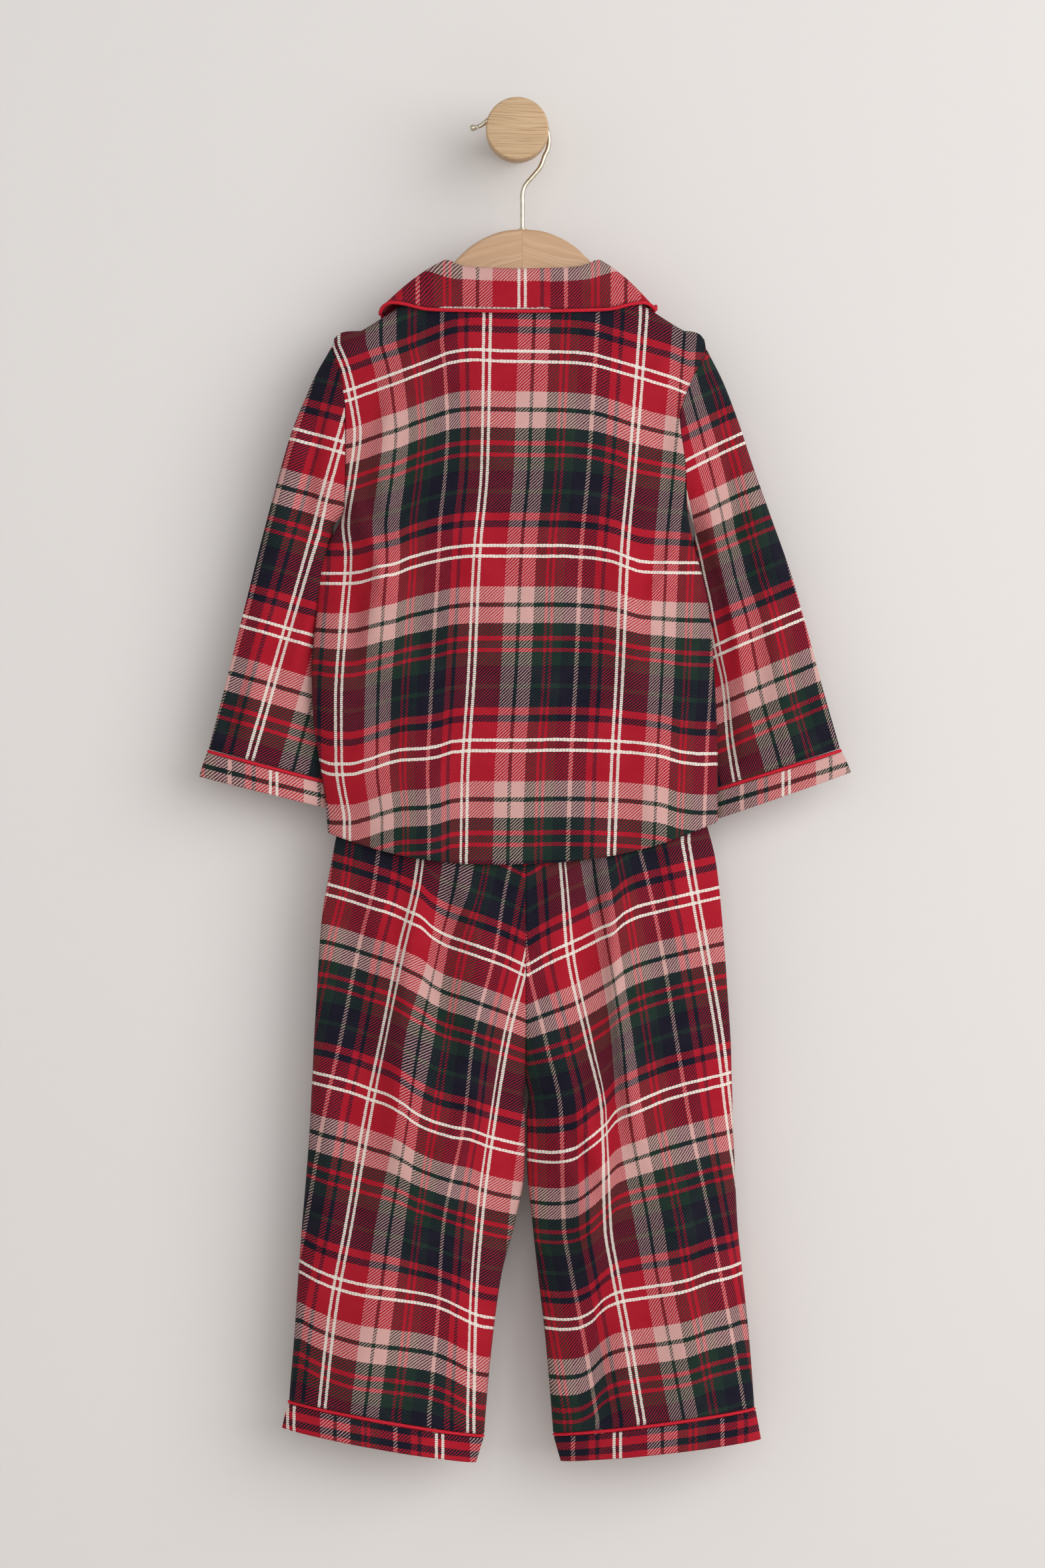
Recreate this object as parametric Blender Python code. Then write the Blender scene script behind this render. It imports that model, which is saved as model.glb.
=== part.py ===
"""Child's pyjama set on a flat wooden hanger, hung by its hook on a turned wall peg.

The wearer's back faces -Y and the wall is the plane y = 0. The origin is the centre of the
peg's flat back face. Lengths below are millimetres, turned into metres when a mesh is made.
"""
import math

import bmesh
import bpy
import numpy as np

MM = 0.001

# Cloth
CLOTH = 1.2            # wall of the flannel
BAND = 2.0             # doubled cloth of cuffs and waistband
SEAM = 0.3             # gap between two pieces at a seam
PIPING_RADIUS = 1.25

# Hanger, hook and peg
HANG_Y = -42.0         # mid-plane of hanger, hook and garment
BOARD_THICKNESS = 12.0
BOARD_BEVEL = 3.0
BOARD_X = 3.7          # the hook's stem and the board's middle stand a little to the right
WIRE_RADIUS = 1.65
HOOK_RADIUS = 21.0
HOOK_CENTRE = (1.4, -5.0)
SHAFT_RADIUS = 13.8
KNOB_RADIUS = 22.0
KNOB_BACK_Y = -46.0
KNOB_FRONT_Y = -64.0

# Top
ROUND_OVER = 7.5       # drop within which the cloth turns over the board's edge
OVER_REACH = 8.6       # how far the cloth stands out where it has turned over
ARMHOLE_ROWS = 14
SHOULDER_LIFT = 2.4    # shoulder line above the board's upper edge
NECK_HALF = 57.0
SHOULDER_HALF = 131.5
BACK_NECK_DROP = 8.5
FRONT_NECK_DROP = 48.0
ARMHOLE_DEPTH = 13.0   # half the armhole's opening, front to back
TOP_HEM_LEFT = -493.0
TOP_HEM_RIGHT = -485.0
TOP_HEM_DIP = 26.0     # how far the shirt tail hangs below the side seams
PLACKET_HALF = 11.0
BUTTON_RADIUS = 5.5
BUTTON_THICKNESS = 2.0
BUTTON_HEIGHTS = (-190, -260, -330, -400)

# Trousers
WAIST_Z = -428.0
WAISTBAND = 24.0
CROTCH_Z = -678.0
LEGS_PART_Z = -600.0      # the two legs begin to show as separate tubes
INSEAM_GAP = 0.75         # from the centre line to each leg's panels
LEG_CUFF_DEPTH = 19.0     # half depth
WAIST_SET_BACK = 7.0      # the waist hangs against the inside of the top's back

# Board: distance from its middle, upper edge, lower edge
BOARD_ROWS = (
    (0, -68.0, -128), (12, -69.2, -128), (24, -73.0, -129), (36, -79.8, -131),
    (46, -89.0, -134), (53, -97.0, -137), (60, -104.0, -140), (70, -112.5, -144),
    (85, -124.0, -151), (100, -134.0, -157), (108, -139.0, -160), (114, -142.5, -161),
)

# Rows of the top's panels: drop below shoulder or neck, and share of the way on to the hem
TOP_PANEL_ROWS = [(d, 0.0) for d in (0, 1.2, 3.6, ROUND_OVER)] + [
    (ROUND_OVER, share) for share in (
        0.03, 0.065, 0.105, 0.15, 0.195, 0.235, 0.268, 0.295, 0.309, 0.316,
        0.36, 0.42, 0.5, 0.6, 0.7, 0.8, 0.9, 1.0,
    )
]

# Top body: height, left edge, right edge, bulge of the back, bulge of the front
TOP_ROWS = (
    (-100, -124, 128, 3, 3), (-151, -130, 133, 8, 7), (-175, -123, 122, 12, 9),
    (-200, -120.5, 114, 15, 10), (-235, -120.5, 118, 17, 11), (-265, -122, 119.5, 18, 11),
    (-290, -132.4, 124, 19, 11), (-310, -139, 129.6, 20, 11), (-337, -141, 135, 20, 11),
    (-378, -144.6, 138.5, 20, 12), (-410, -143.7, 140, 20, 13), (-438, -140, 141, 20, 14),
    (-471, -135, 141, 19, 14), (-520, -131.5, 141, 18, 14),
)

# Left sleeve, ring by ring from the armhole: outer edge x, z; inner edge x, z;
# how far the outer and inner edges stand behind the garment's middle; half depth
SLEEVE_LEFT_ROWS = (
    (-130, -151, -122, -265, 0, 0, 13),
    (-142, -172, -125, -270.5, 0, 1.5, 13),
    (-153, -198, -131.5, -280, 1, 6, 12),
    (-163, -227, -131, -297, 2, 12, 11),
    (-173, -261, -124, -318, 3, 16, 10),
    (-184, -302, -120, -348, 4, 17, 9.5),
    (-195, -346, -121, -382, 4, 17, 9),
    (-206, -390, -125, -418, 4, 15, 9),
    (-217.5, -434.5, -132, -457, 4, 11, 10),
)
CUFF_LEFT = (-224, -454, -131, -477, 4, 11, 11)
SLEEVE_RIGHT_ROWS = (
    (133, -153, 119.5, -265, 0, 0, 13),
    (144, -175, 122.5, -271, 0, 1.5, 13),
    (154, -202, 125.5, -281, 1, 6, 12),
    (164, -232, 124, -298, 2, 12, 11),
    (177, -267, 119, -320, 3, 16, 10),
    (192, -308, 118, -350, 4, 17, 9.5),
    (205, -353, 121, -386, 4, 17, 9),
    (216, -394, 127, -426, 4, 15, 9),
    (227.5, -434, 136, -463, 4, 11, 10),
)
CUFF_RIGHT = (235, -451, 138, -485, 4, 11, 11)

# Collar, by the angle round the neck from the middle of the back to the middle of the front:
# heights of stand's foot, of the fold and of the outer edge; widths of fold and outer edge
COLLAR_ROWS = (
    (0, -106.4, -96.5, -126, 54, 95), (30, -105.2, -95.5, -124.5, 54, 93),
    (50, -102.5, -93, -120.5, 54, 93), (62, -94.5, -91, -119.5, 54, 94),
    (78, -94.5, -90, -122, 54, 95), (90, -97, -91, -127, 54.5, 96),
    (102, -96, -90.5, -133, 54, 95), (112, -97.5, -92, -142, 53.5, 92), (122, -104, -97, -152, 52, 88),
    (150, -130, -118, -172, 50, 78), (180, -146, -134, -182, 50, 70),
)
# The last angle leaves the collar open at the front
COLLAR_ANGLES = (0, 14, 28, 40, 50, 58, 66, 74, 82, 90, 97, 104, 111, 118, 128, 140, 153, 166)

# Trousers: height, left leg's outer and inner edge, right leg's inner and outer edge
LEG_ROWS = (
    (-428, -110, 6, 6, 116), (-452, -114, 6, 6, 121), (-490, -126, 6, 6, 134),
    (-515, -131, 6, 6, 140), (-558, -138, 6, 6, 144.5), (-611, -141.3, 6, 6, 148.3),
    (-645, -143.2, 6, 6, 150.3), (-694, -145.5, 6.0, 6.0, 151.6), (-730, -148, 5, 7.4, 153),
    (-768, -151.2, -2, 11, 154.8), (-805, -154, -11.5, 15, 158.5),
    (-848, -156.8, -17.5, 20, 163), (-894, -160.5, -22, 24, 166.5), (-920, -162, -24, 26, 168),
)
LEG_DEPTH_ROWS = ((-428, 9), (-520, 15), (-600, 19), (-690, 20), (-760, 19), (-920, 17))
LEG_END_OUTER = (-893, -898)      # left and right leg, height of the hem at the outer edge
LEG_END_INNER = (-917, -916)
LEG_CUFFS = ((-165, -913, -30, -937), (171, -921, 31.5, -936))
HIP_DEPTH_ROWS = (
    (-428, 14.6), (-452, 14.6), (-480, 14.5), (-520, 16), (-600, 17), (-660, 12), (-700, 8),
)

COLOURS = {
    "flannel": (0.30, 0.07, 0.08, 0.9, 0), "piping": (0.50, 0.01, 0.025, 0.75, 0),
    "beech": (0.61, 0.38, 0.21, 0.5, 0), "nickel": (0.75, 0.70, 0.60, 0.3, 1),
    "pale wood": (0.78, 0.66, 0.50, 0.55, 0), "button": (0.85, 0.80, 0.72, 0.4, 0),
}


def clearScene():
    for old in list(bpy.data.objects):
        bpy.data.objects.remove(old)


def material(name):
    found = bpy.data.materials.get(name)
    if found:
        return found
    red, green, blue, rough, metal = COLOURS[name]
    made = bpy.data.materials.new(name)
    made.use_nodes = True
    shader = made.node_tree.nodes["Principled BSDF"]
    shader.inputs["Base Color"].default_value = (red, green, blue, 1)
    shader.inputs["Roughness"].default_value = rough
    shader.inputs["Metallic"].default_value = metal
    return made


def smooth(table, at, column=1):
    """Value of a table's column at a place, on a curve through its rows with no overshoot."""
    rows = sorted((row[0], row[column]) for row in table)
    xs = np.array([row[0] for row in rows], float)
    ys = np.array([row[1] for row in rows], float)
    at = np.clip(np.asarray(at, float), xs[0], xs[-1])
    slope = np.diff(ys) / np.diff(xs)
    tangent = np.zeros(len(xs))
    both = slope[:-1] * slope[1:] > 0
    tangent[1:-1][both] = 2 * slope[:-1][both] * slope[1:][both] / (slope[:-1] + slope[1:])[both]
    tangent[0], tangent[-1] = slope[0], slope[-1]
    k = np.clip(np.searchsorted(xs, at) - 1, 0, len(xs) - 2)
    step = xs[k + 1] - xs[k]
    t = (at - xs[k]) / step
    return (
        ys[k] * (1 + 2 * t) * (1 - t) ** 2 + ys[k + 1] * t * t * (3 - 2 * t)
        + step * (tangent[k] * t * (1 - t) ** 2 - tangent[k + 1] * t * t * (1 - t))
    )


def ease(t):
    t = np.clip(t, 0, 1)
    return t * t * (3 - 2 * t)


def makeObject(name, points, faces, finish):
    mesh = bpy.data.meshes.new(name)
    mesh.from_pydata([tuple(float(c) * MM for c in p) for p in points], [], faces)
    mesh.materials.append(material(finish))
    made = bpy.data.objects.new(name, mesh)
    bpy.context.scene.collection.objects.link(made)
    build = bmesh.new()
    build.from_mesh(mesh)
    bmesh.ops.recalc_face_normals(build, faces=build.faces)
    if build.calc_volume(signed=True) < 0:
        bmesh.ops.reverse_faces(build, faces=build.faces)
    build.to_mesh(mesh)
    build.free()
    mesh.shade_smooth()
    return made


def gridNormals(grid, ring):
    if ring:
        along = np.roll(grid, -1, 0) - np.roll(grid, 1, 0)
    else:
        along = np.gradient(grid, axis=0)
    normal = np.cross(along, np.gradient(grid, axis=1))
    return normal / np.maximum(np.linalg.norm(normal, axis=2, keepdims=True), 1e-9)


def wall(name, grid, thickness=CLOTH, ring=False, seams=(), finish="flannel"):
    """Closed wall round a grid of mid-surface points. A ring's first index runs round it.

    seams names borders (0 first column, 1 last column, 2 first row, 3 last row) and the axis
    across each seam, which the wall's own thickness must not lean over.
    """
    grid = np.asarray(grid, float)
    normal = gridNormals(grid, ring)
    borders = {0: (0, slice(None)), 1: (-1, slice(None)), 2: (slice(None), 0), 3: (slice(None), -1)}
    for border, axis in seams:
        part = normal[borders[border]]
        part[..., axis] = 0
        part /= np.maximum(np.linalg.norm(part, axis=-1, keepdims=True), 1e-9)
        normal[borders[border]] = part
    nu, nv = grid.shape[:2]
    points = np.concatenate([
        (grid + normal * thickness / 2).reshape(-1, 3), (grid - normal * thickness / 2).reshape(-1, 3)
    ])
    half = nu * nv

    def at(i, j, side):
        return side * half + (i % nu) * nv + j

    faces = []
    for i in range(nu if ring else nu - 1):
        for j in range(nv - 1):
            faces.append((at(i, j, 0), at(i + 1, j, 0), at(i + 1, j + 1, 0), at(i, j + 1, 0)))
            faces.append((at(i, j, 1), at(i, j + 1, 1), at(i + 1, j + 1, 1), at(i + 1, j, 1)))
        for j in (0, nv - 1):
            faces.append((at(i, j, 0), at(i + 1, j, 0), at(i + 1, j, 1), at(i, j, 1)))
    if not ring:
        for j in range(nv - 1):
            for i in (0, nu - 1):
                faces.append((at(i, j, 0), at(i, j + 1, 0), at(i, j + 1, 1), at(i, j, 1)))
    return makeObject(name, points, faces, finish)


def tube(name, path, radius, sides=6, closed=True, finish="piping"):
    """Round cord along a path, as a mesh. A closed path joins its ends."""
    path = np.asarray(path, float)
    count = len(path)
    if closed:
        tangent = np.roll(path, -1, 0) - np.roll(path, 1, 0)
    else:
        tangent = np.gradient(path, axis=0)
    tangent /= np.linalg.norm(tangent, axis=1, keepdims=True)
    first = np.cross(tangent[0], (0.13, 0.2, 1.0))
    frames = [first / np.linalg.norm(first)]
    for k in range(1, count):
        carried = frames[-1] - tangent[k] * np.dot(frames[-1], tangent[k])
        frames.append(carried / np.linalg.norm(carried))
    points, faces = [], []
    for k in range(count):
        other = np.cross(tangent[k], frames[k])
        for s in range(sides):
            angle = 2 * math.pi * s / sides
            points.append(path[k] + radius * (math.cos(angle) * frames[k] + math.sin(angle) * other))
    spans = count if closed else count - 1
    turn = 0
    if closed:
        carried = frames[-1] - tangent[0] * np.dot(frames[-1], tangent[0])
        angle = math.atan2(np.dot(carried, np.cross(tangent[0], frames[0])), np.dot(carried, frames[0]))
        turn = round(angle / (2 * math.pi / sides))
    for k in range(spans):
        shift = turn if k == count - 1 else 0
        for s in range(sides):
            here, following = k * sides, (k + 1) % count * sides
            faces.append((
                here + s, here + (s + 1) % sides,
                following + (s + 1 + shift) % sides, following + (s + shift) % sides,
            ))
    if not closed:
        faces.append(tuple(range(sides)))
        faces.append(tuple(range((count - 1) * sides, count * sides)))
    return makeObject(name, points, faces, finish)


# ---- hanger ----

def boardTop(x):
    return smooth(BOARD_ROWS, np.abs(np.asarray(x, float) - BOARD_X), 1)


def hangerBoard():
    right = [(BOARD_X + d, top) for d, top, _ in BOARD_ROWS]
    tip = [(BOARD_X + 117, -146), (BOARD_X + 118, -151), (BOARD_X + 117, -158)]
    under = [(BOARD_X + d, low) for d, _, low in reversed(BOARD_ROWS)]
    half = right + tip + under
    outline = half + [(2 * BOARD_X - x, z) for x, z in reversed(half[1:-1])]
    mesh = bpy.data.meshes.new("hanger_board")
    build = bmesh.new()
    front = [build.verts.new((x * MM, (HANG_Y - BOARD_THICKNESS / 2) * MM, z * MM)) for x, z in outline]
    face = build.faces.new(front)
    grown = bmesh.ops.extrude_face_region(build, geom=[face])
    moved = [v for v in grown["geom"] if isinstance(v, bmesh.types.BMVert)]
    bmesh.ops.translate(build, verts=moved, vec=(0, BOARD_THICKNESS * MM, 0))
    bmesh.ops.recalc_face_normals(build, faces=build.faces)
    rims = [e for e in build.edges if abs(e.verts[0].co.y - e.verts[1].co.y) < 1e-6]
    bmesh.ops.bevel(build, geom=rims, offset=BOARD_BEVEL * MM, segments=2, profile=0.5, affect="EDGES")
    build.to_mesh(mesh)
    build.free()
    mesh.materials.append(material("beech"))
    made = bpy.data.objects.new("hanger_board", mesh)
    bpy.context.scene.collection.objects.link(made)
    mesh.shade_smooth()
    mesh.set_sharp_from_angle(angle=math.radians(35))


def hookPath():
    """Stem up from the board, round to the right, over the peg and down to a flared tip."""
    cx, cz = HOOK_CENTRE
    stem = [(BOARD_X, z) for z in (-67.4, -58, -50, -43)]
    bend = [(5.5, -37), (10.5, -31), (16.2, -24)]
    arc = [
        (cx + HOOK_RADIUS * math.cos(a), cz + HOOK_RADIUS * math.sin(a))
        for a in np.radians(np.arange(-32, 99, 10))
    ]
    flare = [(-9.5, 14.6), (-15, 12.9), (-20, 10), (-24.2, 6.4), (-27.8, 4.5)]
    return [(x, HANG_Y, z) for x, z in stem + bend + arc + flare]


def hangerHook():
    tube("hanger_hook", hookPath(), WIRE_RADIUS, sides=10, closed=False, finish="nickel")
    lathe("hook_tip", (-31.0, HANG_Y, 3.9), [(-2.1, 0), (-1.9, 1.1), (-1.2, 1.9), (0, 2.2),
                                             (1.2, 1.9), (1.9, 1.1), (2.1, 0)], "nickel", "x", 12)


def lathe(name, centre, profile, finish, axis, sides):
    """Turned solid: profile rows are place along the axis and radius, closed at both ends."""
    points, rings = [], []
    for along, radius in profile:
        ring = []
        for s in range(sides if radius > 0 else 1):
            angle = 2 * math.pi * s / sides
            a, b = radius * math.cos(angle), radius * math.sin(angle)
            offset = (along, a, b) if axis == "x" else (a, along, b)
            ring.append(len(points))
            points.append([c + o for c, o in zip(centre, offset)])
        rings.append(ring)
    faces = []
    for one, two in zip(rings, rings[1:]):
        for s in range(sides):
            quad = [one[s % len(one)], one[(s + 1) % len(one)], two[(s + 1) % len(two)], two[s % len(two)]]
            face = list(dict.fromkeys(quad))
            faces.append(face)
    for end in (rings[0], rings[-1]):
        if len(end) > 1:
            faces.append(end)
    made = makeObject(name, points, faces, finish)
    made.data.set_sharp_from_angle(angle=math.radians(40))


def wallPeg():
    edge = 2.2
    lathe("wall_peg", (0, 0, 0), [
        (0, SHAFT_RADIUS), (KNOB_BACK_Y + 1.5, SHAFT_RADIUS), (KNOB_BACK_Y, SHAFT_RADIUS + 1.2),
        (KNOB_BACK_Y, KNOB_RADIUS - edge * 0.5), (KNOB_BACK_Y - 0.8, KNOB_RADIUS),
        (KNOB_FRONT_Y + edge, KNOB_RADIUS), (KNOB_FRONT_Y + edge * 0.4, KNOB_RADIUS - edge * 0.35),
        (KNOB_FRONT_Y, KNOB_RADIUS - edge),
    ], "pale wood", "y", 40)


# ---- top ----

def shoulderLine(x):
    return boardTop(x) + SHOULDER_LIFT


def neckLine(x, front):
    """Height of the neckline, level with the shoulder line at the neck's sides."""
    across = np.clip(np.abs(np.asarray(x, float) - BOARD_X) / NECK_HALF, 0, 1)
    side = boardTop(BOARD_X + NECK_HALF) + SHOULDER_LIFT
    if front:
        return side - FRONT_NECK_DROP * (1 - across ** 2) ** 0.8
    return side - BACK_NECK_DROP * np.sqrt(1 - across ** 3)


def hemLine(u):
    edge = TOP_HEM_LEFT + (TOP_HEM_RIGHT - TOP_HEM_LEFT) * (u + 1) / 2
    return edge - TOP_HEM_DIP * (1 - np.abs(u) ** 2.4)


def armholeReach(z, tip, under):
    """Half the armhole's opening at a height, nothing at the shoulder tip and the underarm."""
    s = np.clip((tip - z) / (tip - under), 0, 1)
    return ARMHOLE_DEPTH * (4 * s * (1 - s)) ** 0.6


def armholeHeights(u):
    """Heights of the panel rows down the armhole, at the left or the right side."""
    tip = SLEEVE_LEFT_ROWS[0][1] if u < 0 else SLEEVE_RIGHT_ROWS[0][1]
    low = float(hemLine(u))
    rows = TOP_PANEL_ROWS[:ARMHOLE_ROWS]
    return [tip - drop + (low - tip + ROUND_OVER) * share for drop, share in rows]


def topDepth(x, z, front):
    """How far the body's mid-surface stands from the garment's middle plane."""
    left, right = smooth(TOP_ROWS, z, 1), smooth(TOP_ROWS, z, 2)
    u = np.clip((x - (left + right) / 2) / ((right - left) / 2), -1, 1)
    below = np.clip((shoulderLine(x) - z) / ROUND_OVER, 0, 1)
    over = OVER_REACH * np.sqrt(1 - (1 - below) ** 2) * (1 - 0.55 * ease((-200 - z) / 120))
    heights = armholeHeights(-1 if u < 0 else 1)
    edge = np.abs(u) ** 16
    bulge = smooth(TOP_ROWS, z, 4 if front else 3) * ease((shoulderLine(x) - z) / 60)
    lens = (1 - u * u) ** 0.75
    return over * (1 - edge) + armholeReach(z, heights[0], heights[-1]) * edge + bulge * lens + SEAM / 2


def topPanel(side_u, rows, front):
    """Grid of a body panel between two places across it, from neck and shoulder to hem."""
    grid = []
    for u in side_u:
        shoulder_x = (SLEEVE_LEFT_ROWS[0][0] + SLEEVE_RIGHT_ROWS[0][0]) / 2 + u * SHOULDER_HALF
        if abs(shoulder_x - BOARD_X) < NECK_HALF:
            top = float(neckLine(shoulder_x, front))
        else:
            top = float(shoulderLine(shoulder_x))
            tip = SLEEVE_LEFT_ROWS[0][1] if u < 0 else SLEEVE_RIGHT_ROWS[0][1]
            top = max(top, tip) if abs(u) < 0.999 else tip
        low = float(hemLine(u))
        column = []
        for drop, share in rows:
            z = top - drop + (low - top + rows[-1][0]) * share
            left, right = float(smooth(TOP_ROWS, z, 1)), float(smooth(TOP_ROWS, z, 2))
            if z > SLEEVE_LEFT_ROWS[0][1]:
                left, right = SLEEVE_LEFT_ROWS[0][0], SLEEVE_RIGHT_ROWS[0][0]
            blend = ease((top - z) / 60)
            x = shoulder_x + ((left + right) / 2 + u * (right - left) / 2 - shoulder_x) * blend
            x = x if abs(u) < 0.999 else (left if u < 0 else right)
            depth = float(topDepth(x, z, front))
            column.append((x, HANG_Y + (depth if front else -depth), z))
        grid.append(column)
    return grid


def panelPlaces():
    """Places across the body from -1 to 1, with a pair of columns at each corner of the neck."""
    middle = (SLEEVE_LEFT_ROWS[0][0] + SLEEVE_RIGHT_ROWS[0][0]) / 2
    outside, inside = [], []
    for side in (-1, 1):
        corner, within = (
            abs(BOARD_X + side * (NECK_HALF + past) - middle) / SHOULDER_HALF for past in (0.8, -0.6)
        )
        shares = (0, 0.13, 0.31, 0.5, 0.67, 0.82, 0.93, 1)
        outside.append([side * (corner + (1 - corner) * k) for k in shares])
        inside.append([side * within * k for k in (0.36, 0.7, 1)])
    return outside[0][::-1] + inside[0][::-1] + [0.0] + inside[1] + outside[1]


def topBody():
    whole = panelPlaces()
    back = topPanel(whole, TOP_PANEL_ROWS, False)
    wall("top_back", back, seams=((0, 1), (1, 1), (2, 1)))
    lap = PLACKET_HALF / SHOULDER_HALF
    left = [u for u in whole if u < 0.0] + [0.0, lap]
    right = [-lap, 0.0] + [u for u in whole if u > 0.0]
    for name, across, lift in (("top_front_left", left, 0.0), ("top_front_right", right, 2.0)):
        grid = np.array(topPanel(across, TOP_PANEL_ROWS, True))
        near = 1 - ease((grid[:, :, 0] - 12) / 30)
        if lift:
            grid[:, :, 1] += lift * near
        wall(name, grid, seams=((0 if across is left else 1, 1), (2, 1)))


def frontSurface(x, z):
    return HANG_Y + float(topDepth(x, z, True)) + 2.0


def buttons():
    for number, z in enumerate(BUTTON_HEIGHTS, 1):
        y = frontSurface(BOARD_X, z) + CLOTH / 2 + SEAM + 0.35
        rim = 0.6
        lathe(f"button_{number}", (BOARD_X, y, z), [
            (0, BUTTON_RADIUS - rim), (rim, BUTTON_RADIUS),
            (BUTTON_THICKNESS - rim, BUTTON_RADIUS), (BUTTON_THICKNESS, BUTTON_RADIUS - rim),
        ], "button", "y", 20)


def ringPoint(row, s, back):
    """Point of a flattened ring: s runs from its outer edge, 0, to its inner edge, 1."""
    ox, oz, ix, iz, oy, iy, depth = row
    reach = depth * (4 * s * (1 - s)) ** 0.7
    return (
        ox + (ix - ox) * s, HANG_Y + oy + (iy - oy) * s + (-reach if back else reach),
        oz + (iz - oz) * s,
    )


def ringPlaces(count):
    """Share across and side of each point round a flattened ring."""
    half = count // 2
    turns = [math.pi * k / half for k in range(half + 1)]
    back = [((1 - math.cos(t)) / 2, True) for t in turns]
    front = [((1 - math.cos(t)) / 2, False) for t in reversed(turns[1:-1])]
    return back + front


def armholePoint(s, back, sign):
    """Point of the body's armhole edge, moved out from the seam."""
    heights = armholeHeights(sign)
    z = heights[0] + (heights[-1] - heights[0]) * s
    x = float(smooth(TOP_ROWS, z, 1 if sign < 0 else 2))
    reach = float(armholeReach(z, heights[0], heights[-1])) + SEAM / 2
    return (x + sign * 2.4 * SEAM, HANG_Y + (-reach if back else reach), z)


def armholePlaces(sign):
    """Places round the sleeve that meet the body panel's own rows."""
    heights = armholeHeights(sign)
    shares = [(heights[0] - z) / (heights[0] - heights[-1]) for z in heights]
    return [(s, True) for s in shares] + [(s, False) for s in reversed(shares[1:-1])]


def sleeve(side, rows, cuff, sign):
    end = rows[-1]
    grid = []
    for s, back in armholePlaces(sign):
        start = armholePoint(s, back, sign)
        column = [start]
        for k, row in enumerate(rows[1:], 1):
            x, y, z = ringPoint(row, s, back)
            if k < 3:
                bow = start
                straight = ringPoint(rows[0], s, back)
                fade = (0.62, 0.25)[k - 1]
                x += fade * (bow[0] - straight[0])
                y += fade * (bow[1] - straight[1])
            column.append((x, y, z))
        grid.append(column)
    wall(f"sleeve_{side}", grid, ring=True, seams=((2, 0),))
    bandAndPiping(f"sleeve_{side}", end, cuff, ringPlaces(22))


def bandAndPiping(name, end, cuff, places):
    """Cuff band below a sleeve or leg, with the piping sewn into the seam between them."""
    slack = PIPING_RADIUS + SEAM + 0.1
    ring = []
    for s, back in places:
        here, below = np.array(ringPoint(end, s, back)), np.array(ringPoint(cuff, s, back))
        way = (below - here) / np.linalg.norm(below - here)
        ring.append((here + way * slack, here + way * 2 * slack, below))
    tube(f"{name}_piping", [r[0] for r in ring], PIPING_RADIUS)
    wall(f"{name}_cuff", [[r[1], (r[1] + r[2]) / 2, r[2]] for r in ring], BAND, ring=True)


def offBody(x, y, z, clear):
    """A place moved out until it is clear of the body. y is towards the wearer's back."""
    if abs(y) < 6:
        turned = ROUND_OVER * (1 - math.sqrt(1 - (abs(y) / OVER_REACH) ** 2))
        z = max(z, float(shoulderLine(x)) - turned + clear * 1.25)
    else:
        needed = float(topDepth(x, z, y < 0)) + clear
        needed += 2.0 * (y < 0 and abs(x - BOARD_X) < 45)
        y = math.copysign(max(abs(y), needed), y)
    return (x, HANG_Y - y, z)


def collarPoint(angle, across):
    """Point of the collar: across 0 at the stand's foot, 0.3 at the fold, 1 at the outer edge."""
    turn = abs(angle)
    foot, fold, edge, fold_half, edge_half = (float(smooth(COLLAR_ROWS, turn, c)) for c in range(1, 6))
    sine, cosine = math.sin(math.radians(angle)), math.cos(math.radians(angle))
    round_x = math.copysign(abs(sine) ** 0.6, sine)
    round_y = math.copysign(abs(cosine) ** 0.5, cosine)
    inner = (BOARD_X + 56.0 * round_x, (9.0 if round_y > 0 else 11.0) * round_y, foot)
    crest = (BOARD_X + fold_half * round_x, 12.5 * round_y, fold)
    outer = (BOARD_X - 3.2 + edge_half * round_x, 14.0 * round_y, edge)
    if across <= 0.3:
        t = across / 0.3
        x, y, z = (a + (b - a) * t for a, b in zip(inner, crest))
        return (x, HANG_Y - y, z)
    t = (across - 0.3) / 0.7
    x, y, z = (a + (b - a) * t for a, b in zip(crest, outer))
    z += 3.0 * math.sin(math.pi * min(1, t)) * abs(round_x)
    y += 1.7 * math.sin(math.pi * min(t * 2.5, 1)) * (1 if y > 0 else -1) * min(1, abs(y) / 6)
    return offBody(x, y, z, CLOTH + (0.8 if y > 0 else 2.6))


def collar():
    angles = [-a for a in reversed(COLLAR_ANGLES[1:])] + list(COLLAR_ANGLES)
    across = (0, 0.15, 0.26, 0.3, 0.36, 0.5, 0.66, 0.83, 1)
    wall("collar", [[collarPoint(a, c) for c in across] for a in angles])
    path = []
    for a in angles:
        edge, inside = np.array(collarPoint(a, 1)), np.array(collarPoint(a, 0.83))
        way = (edge - inside) / np.linalg.norm(edge - inside)
        x, y, z = edge + way * (PIPING_RADIUS + 4.5 * SEAM)
        path.append(offBody(x, HANG_Y - y, z, PIPING_RADIUS + (1.4 if y < HANG_Y else 3.6)))
    tube("collar_piping", path, PIPING_RADIUS, closed=False)


# ---- trousers ----

def trouserDepth(x, z, share):
    """Half depth at a place: a lens across the hips that turns into one for each leg."""
    left, right = float(smooth(LEG_ROWS, z, 1)), float(smooth(LEG_ROWS, z, 4))
    u = min(1, abs((x - (left + right) / 2) / ((right - left) / 2)))
    hip = float(smooth(HIP_DEPTH_ROWS, z)) * (1 - u * u) ** 0.7
    lens = (4 * share * (1 - share)) ** 0.6
    tubeful = float(smooth(LEG_DEPTH_ROWS, z)) * lens
    part = float(ease((z - LEGS_PART_Z) / (CROTCH_Z - LEGS_PART_Z)))
    return hip * (1 - part) + tubeful * part + SEAM / 2


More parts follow.
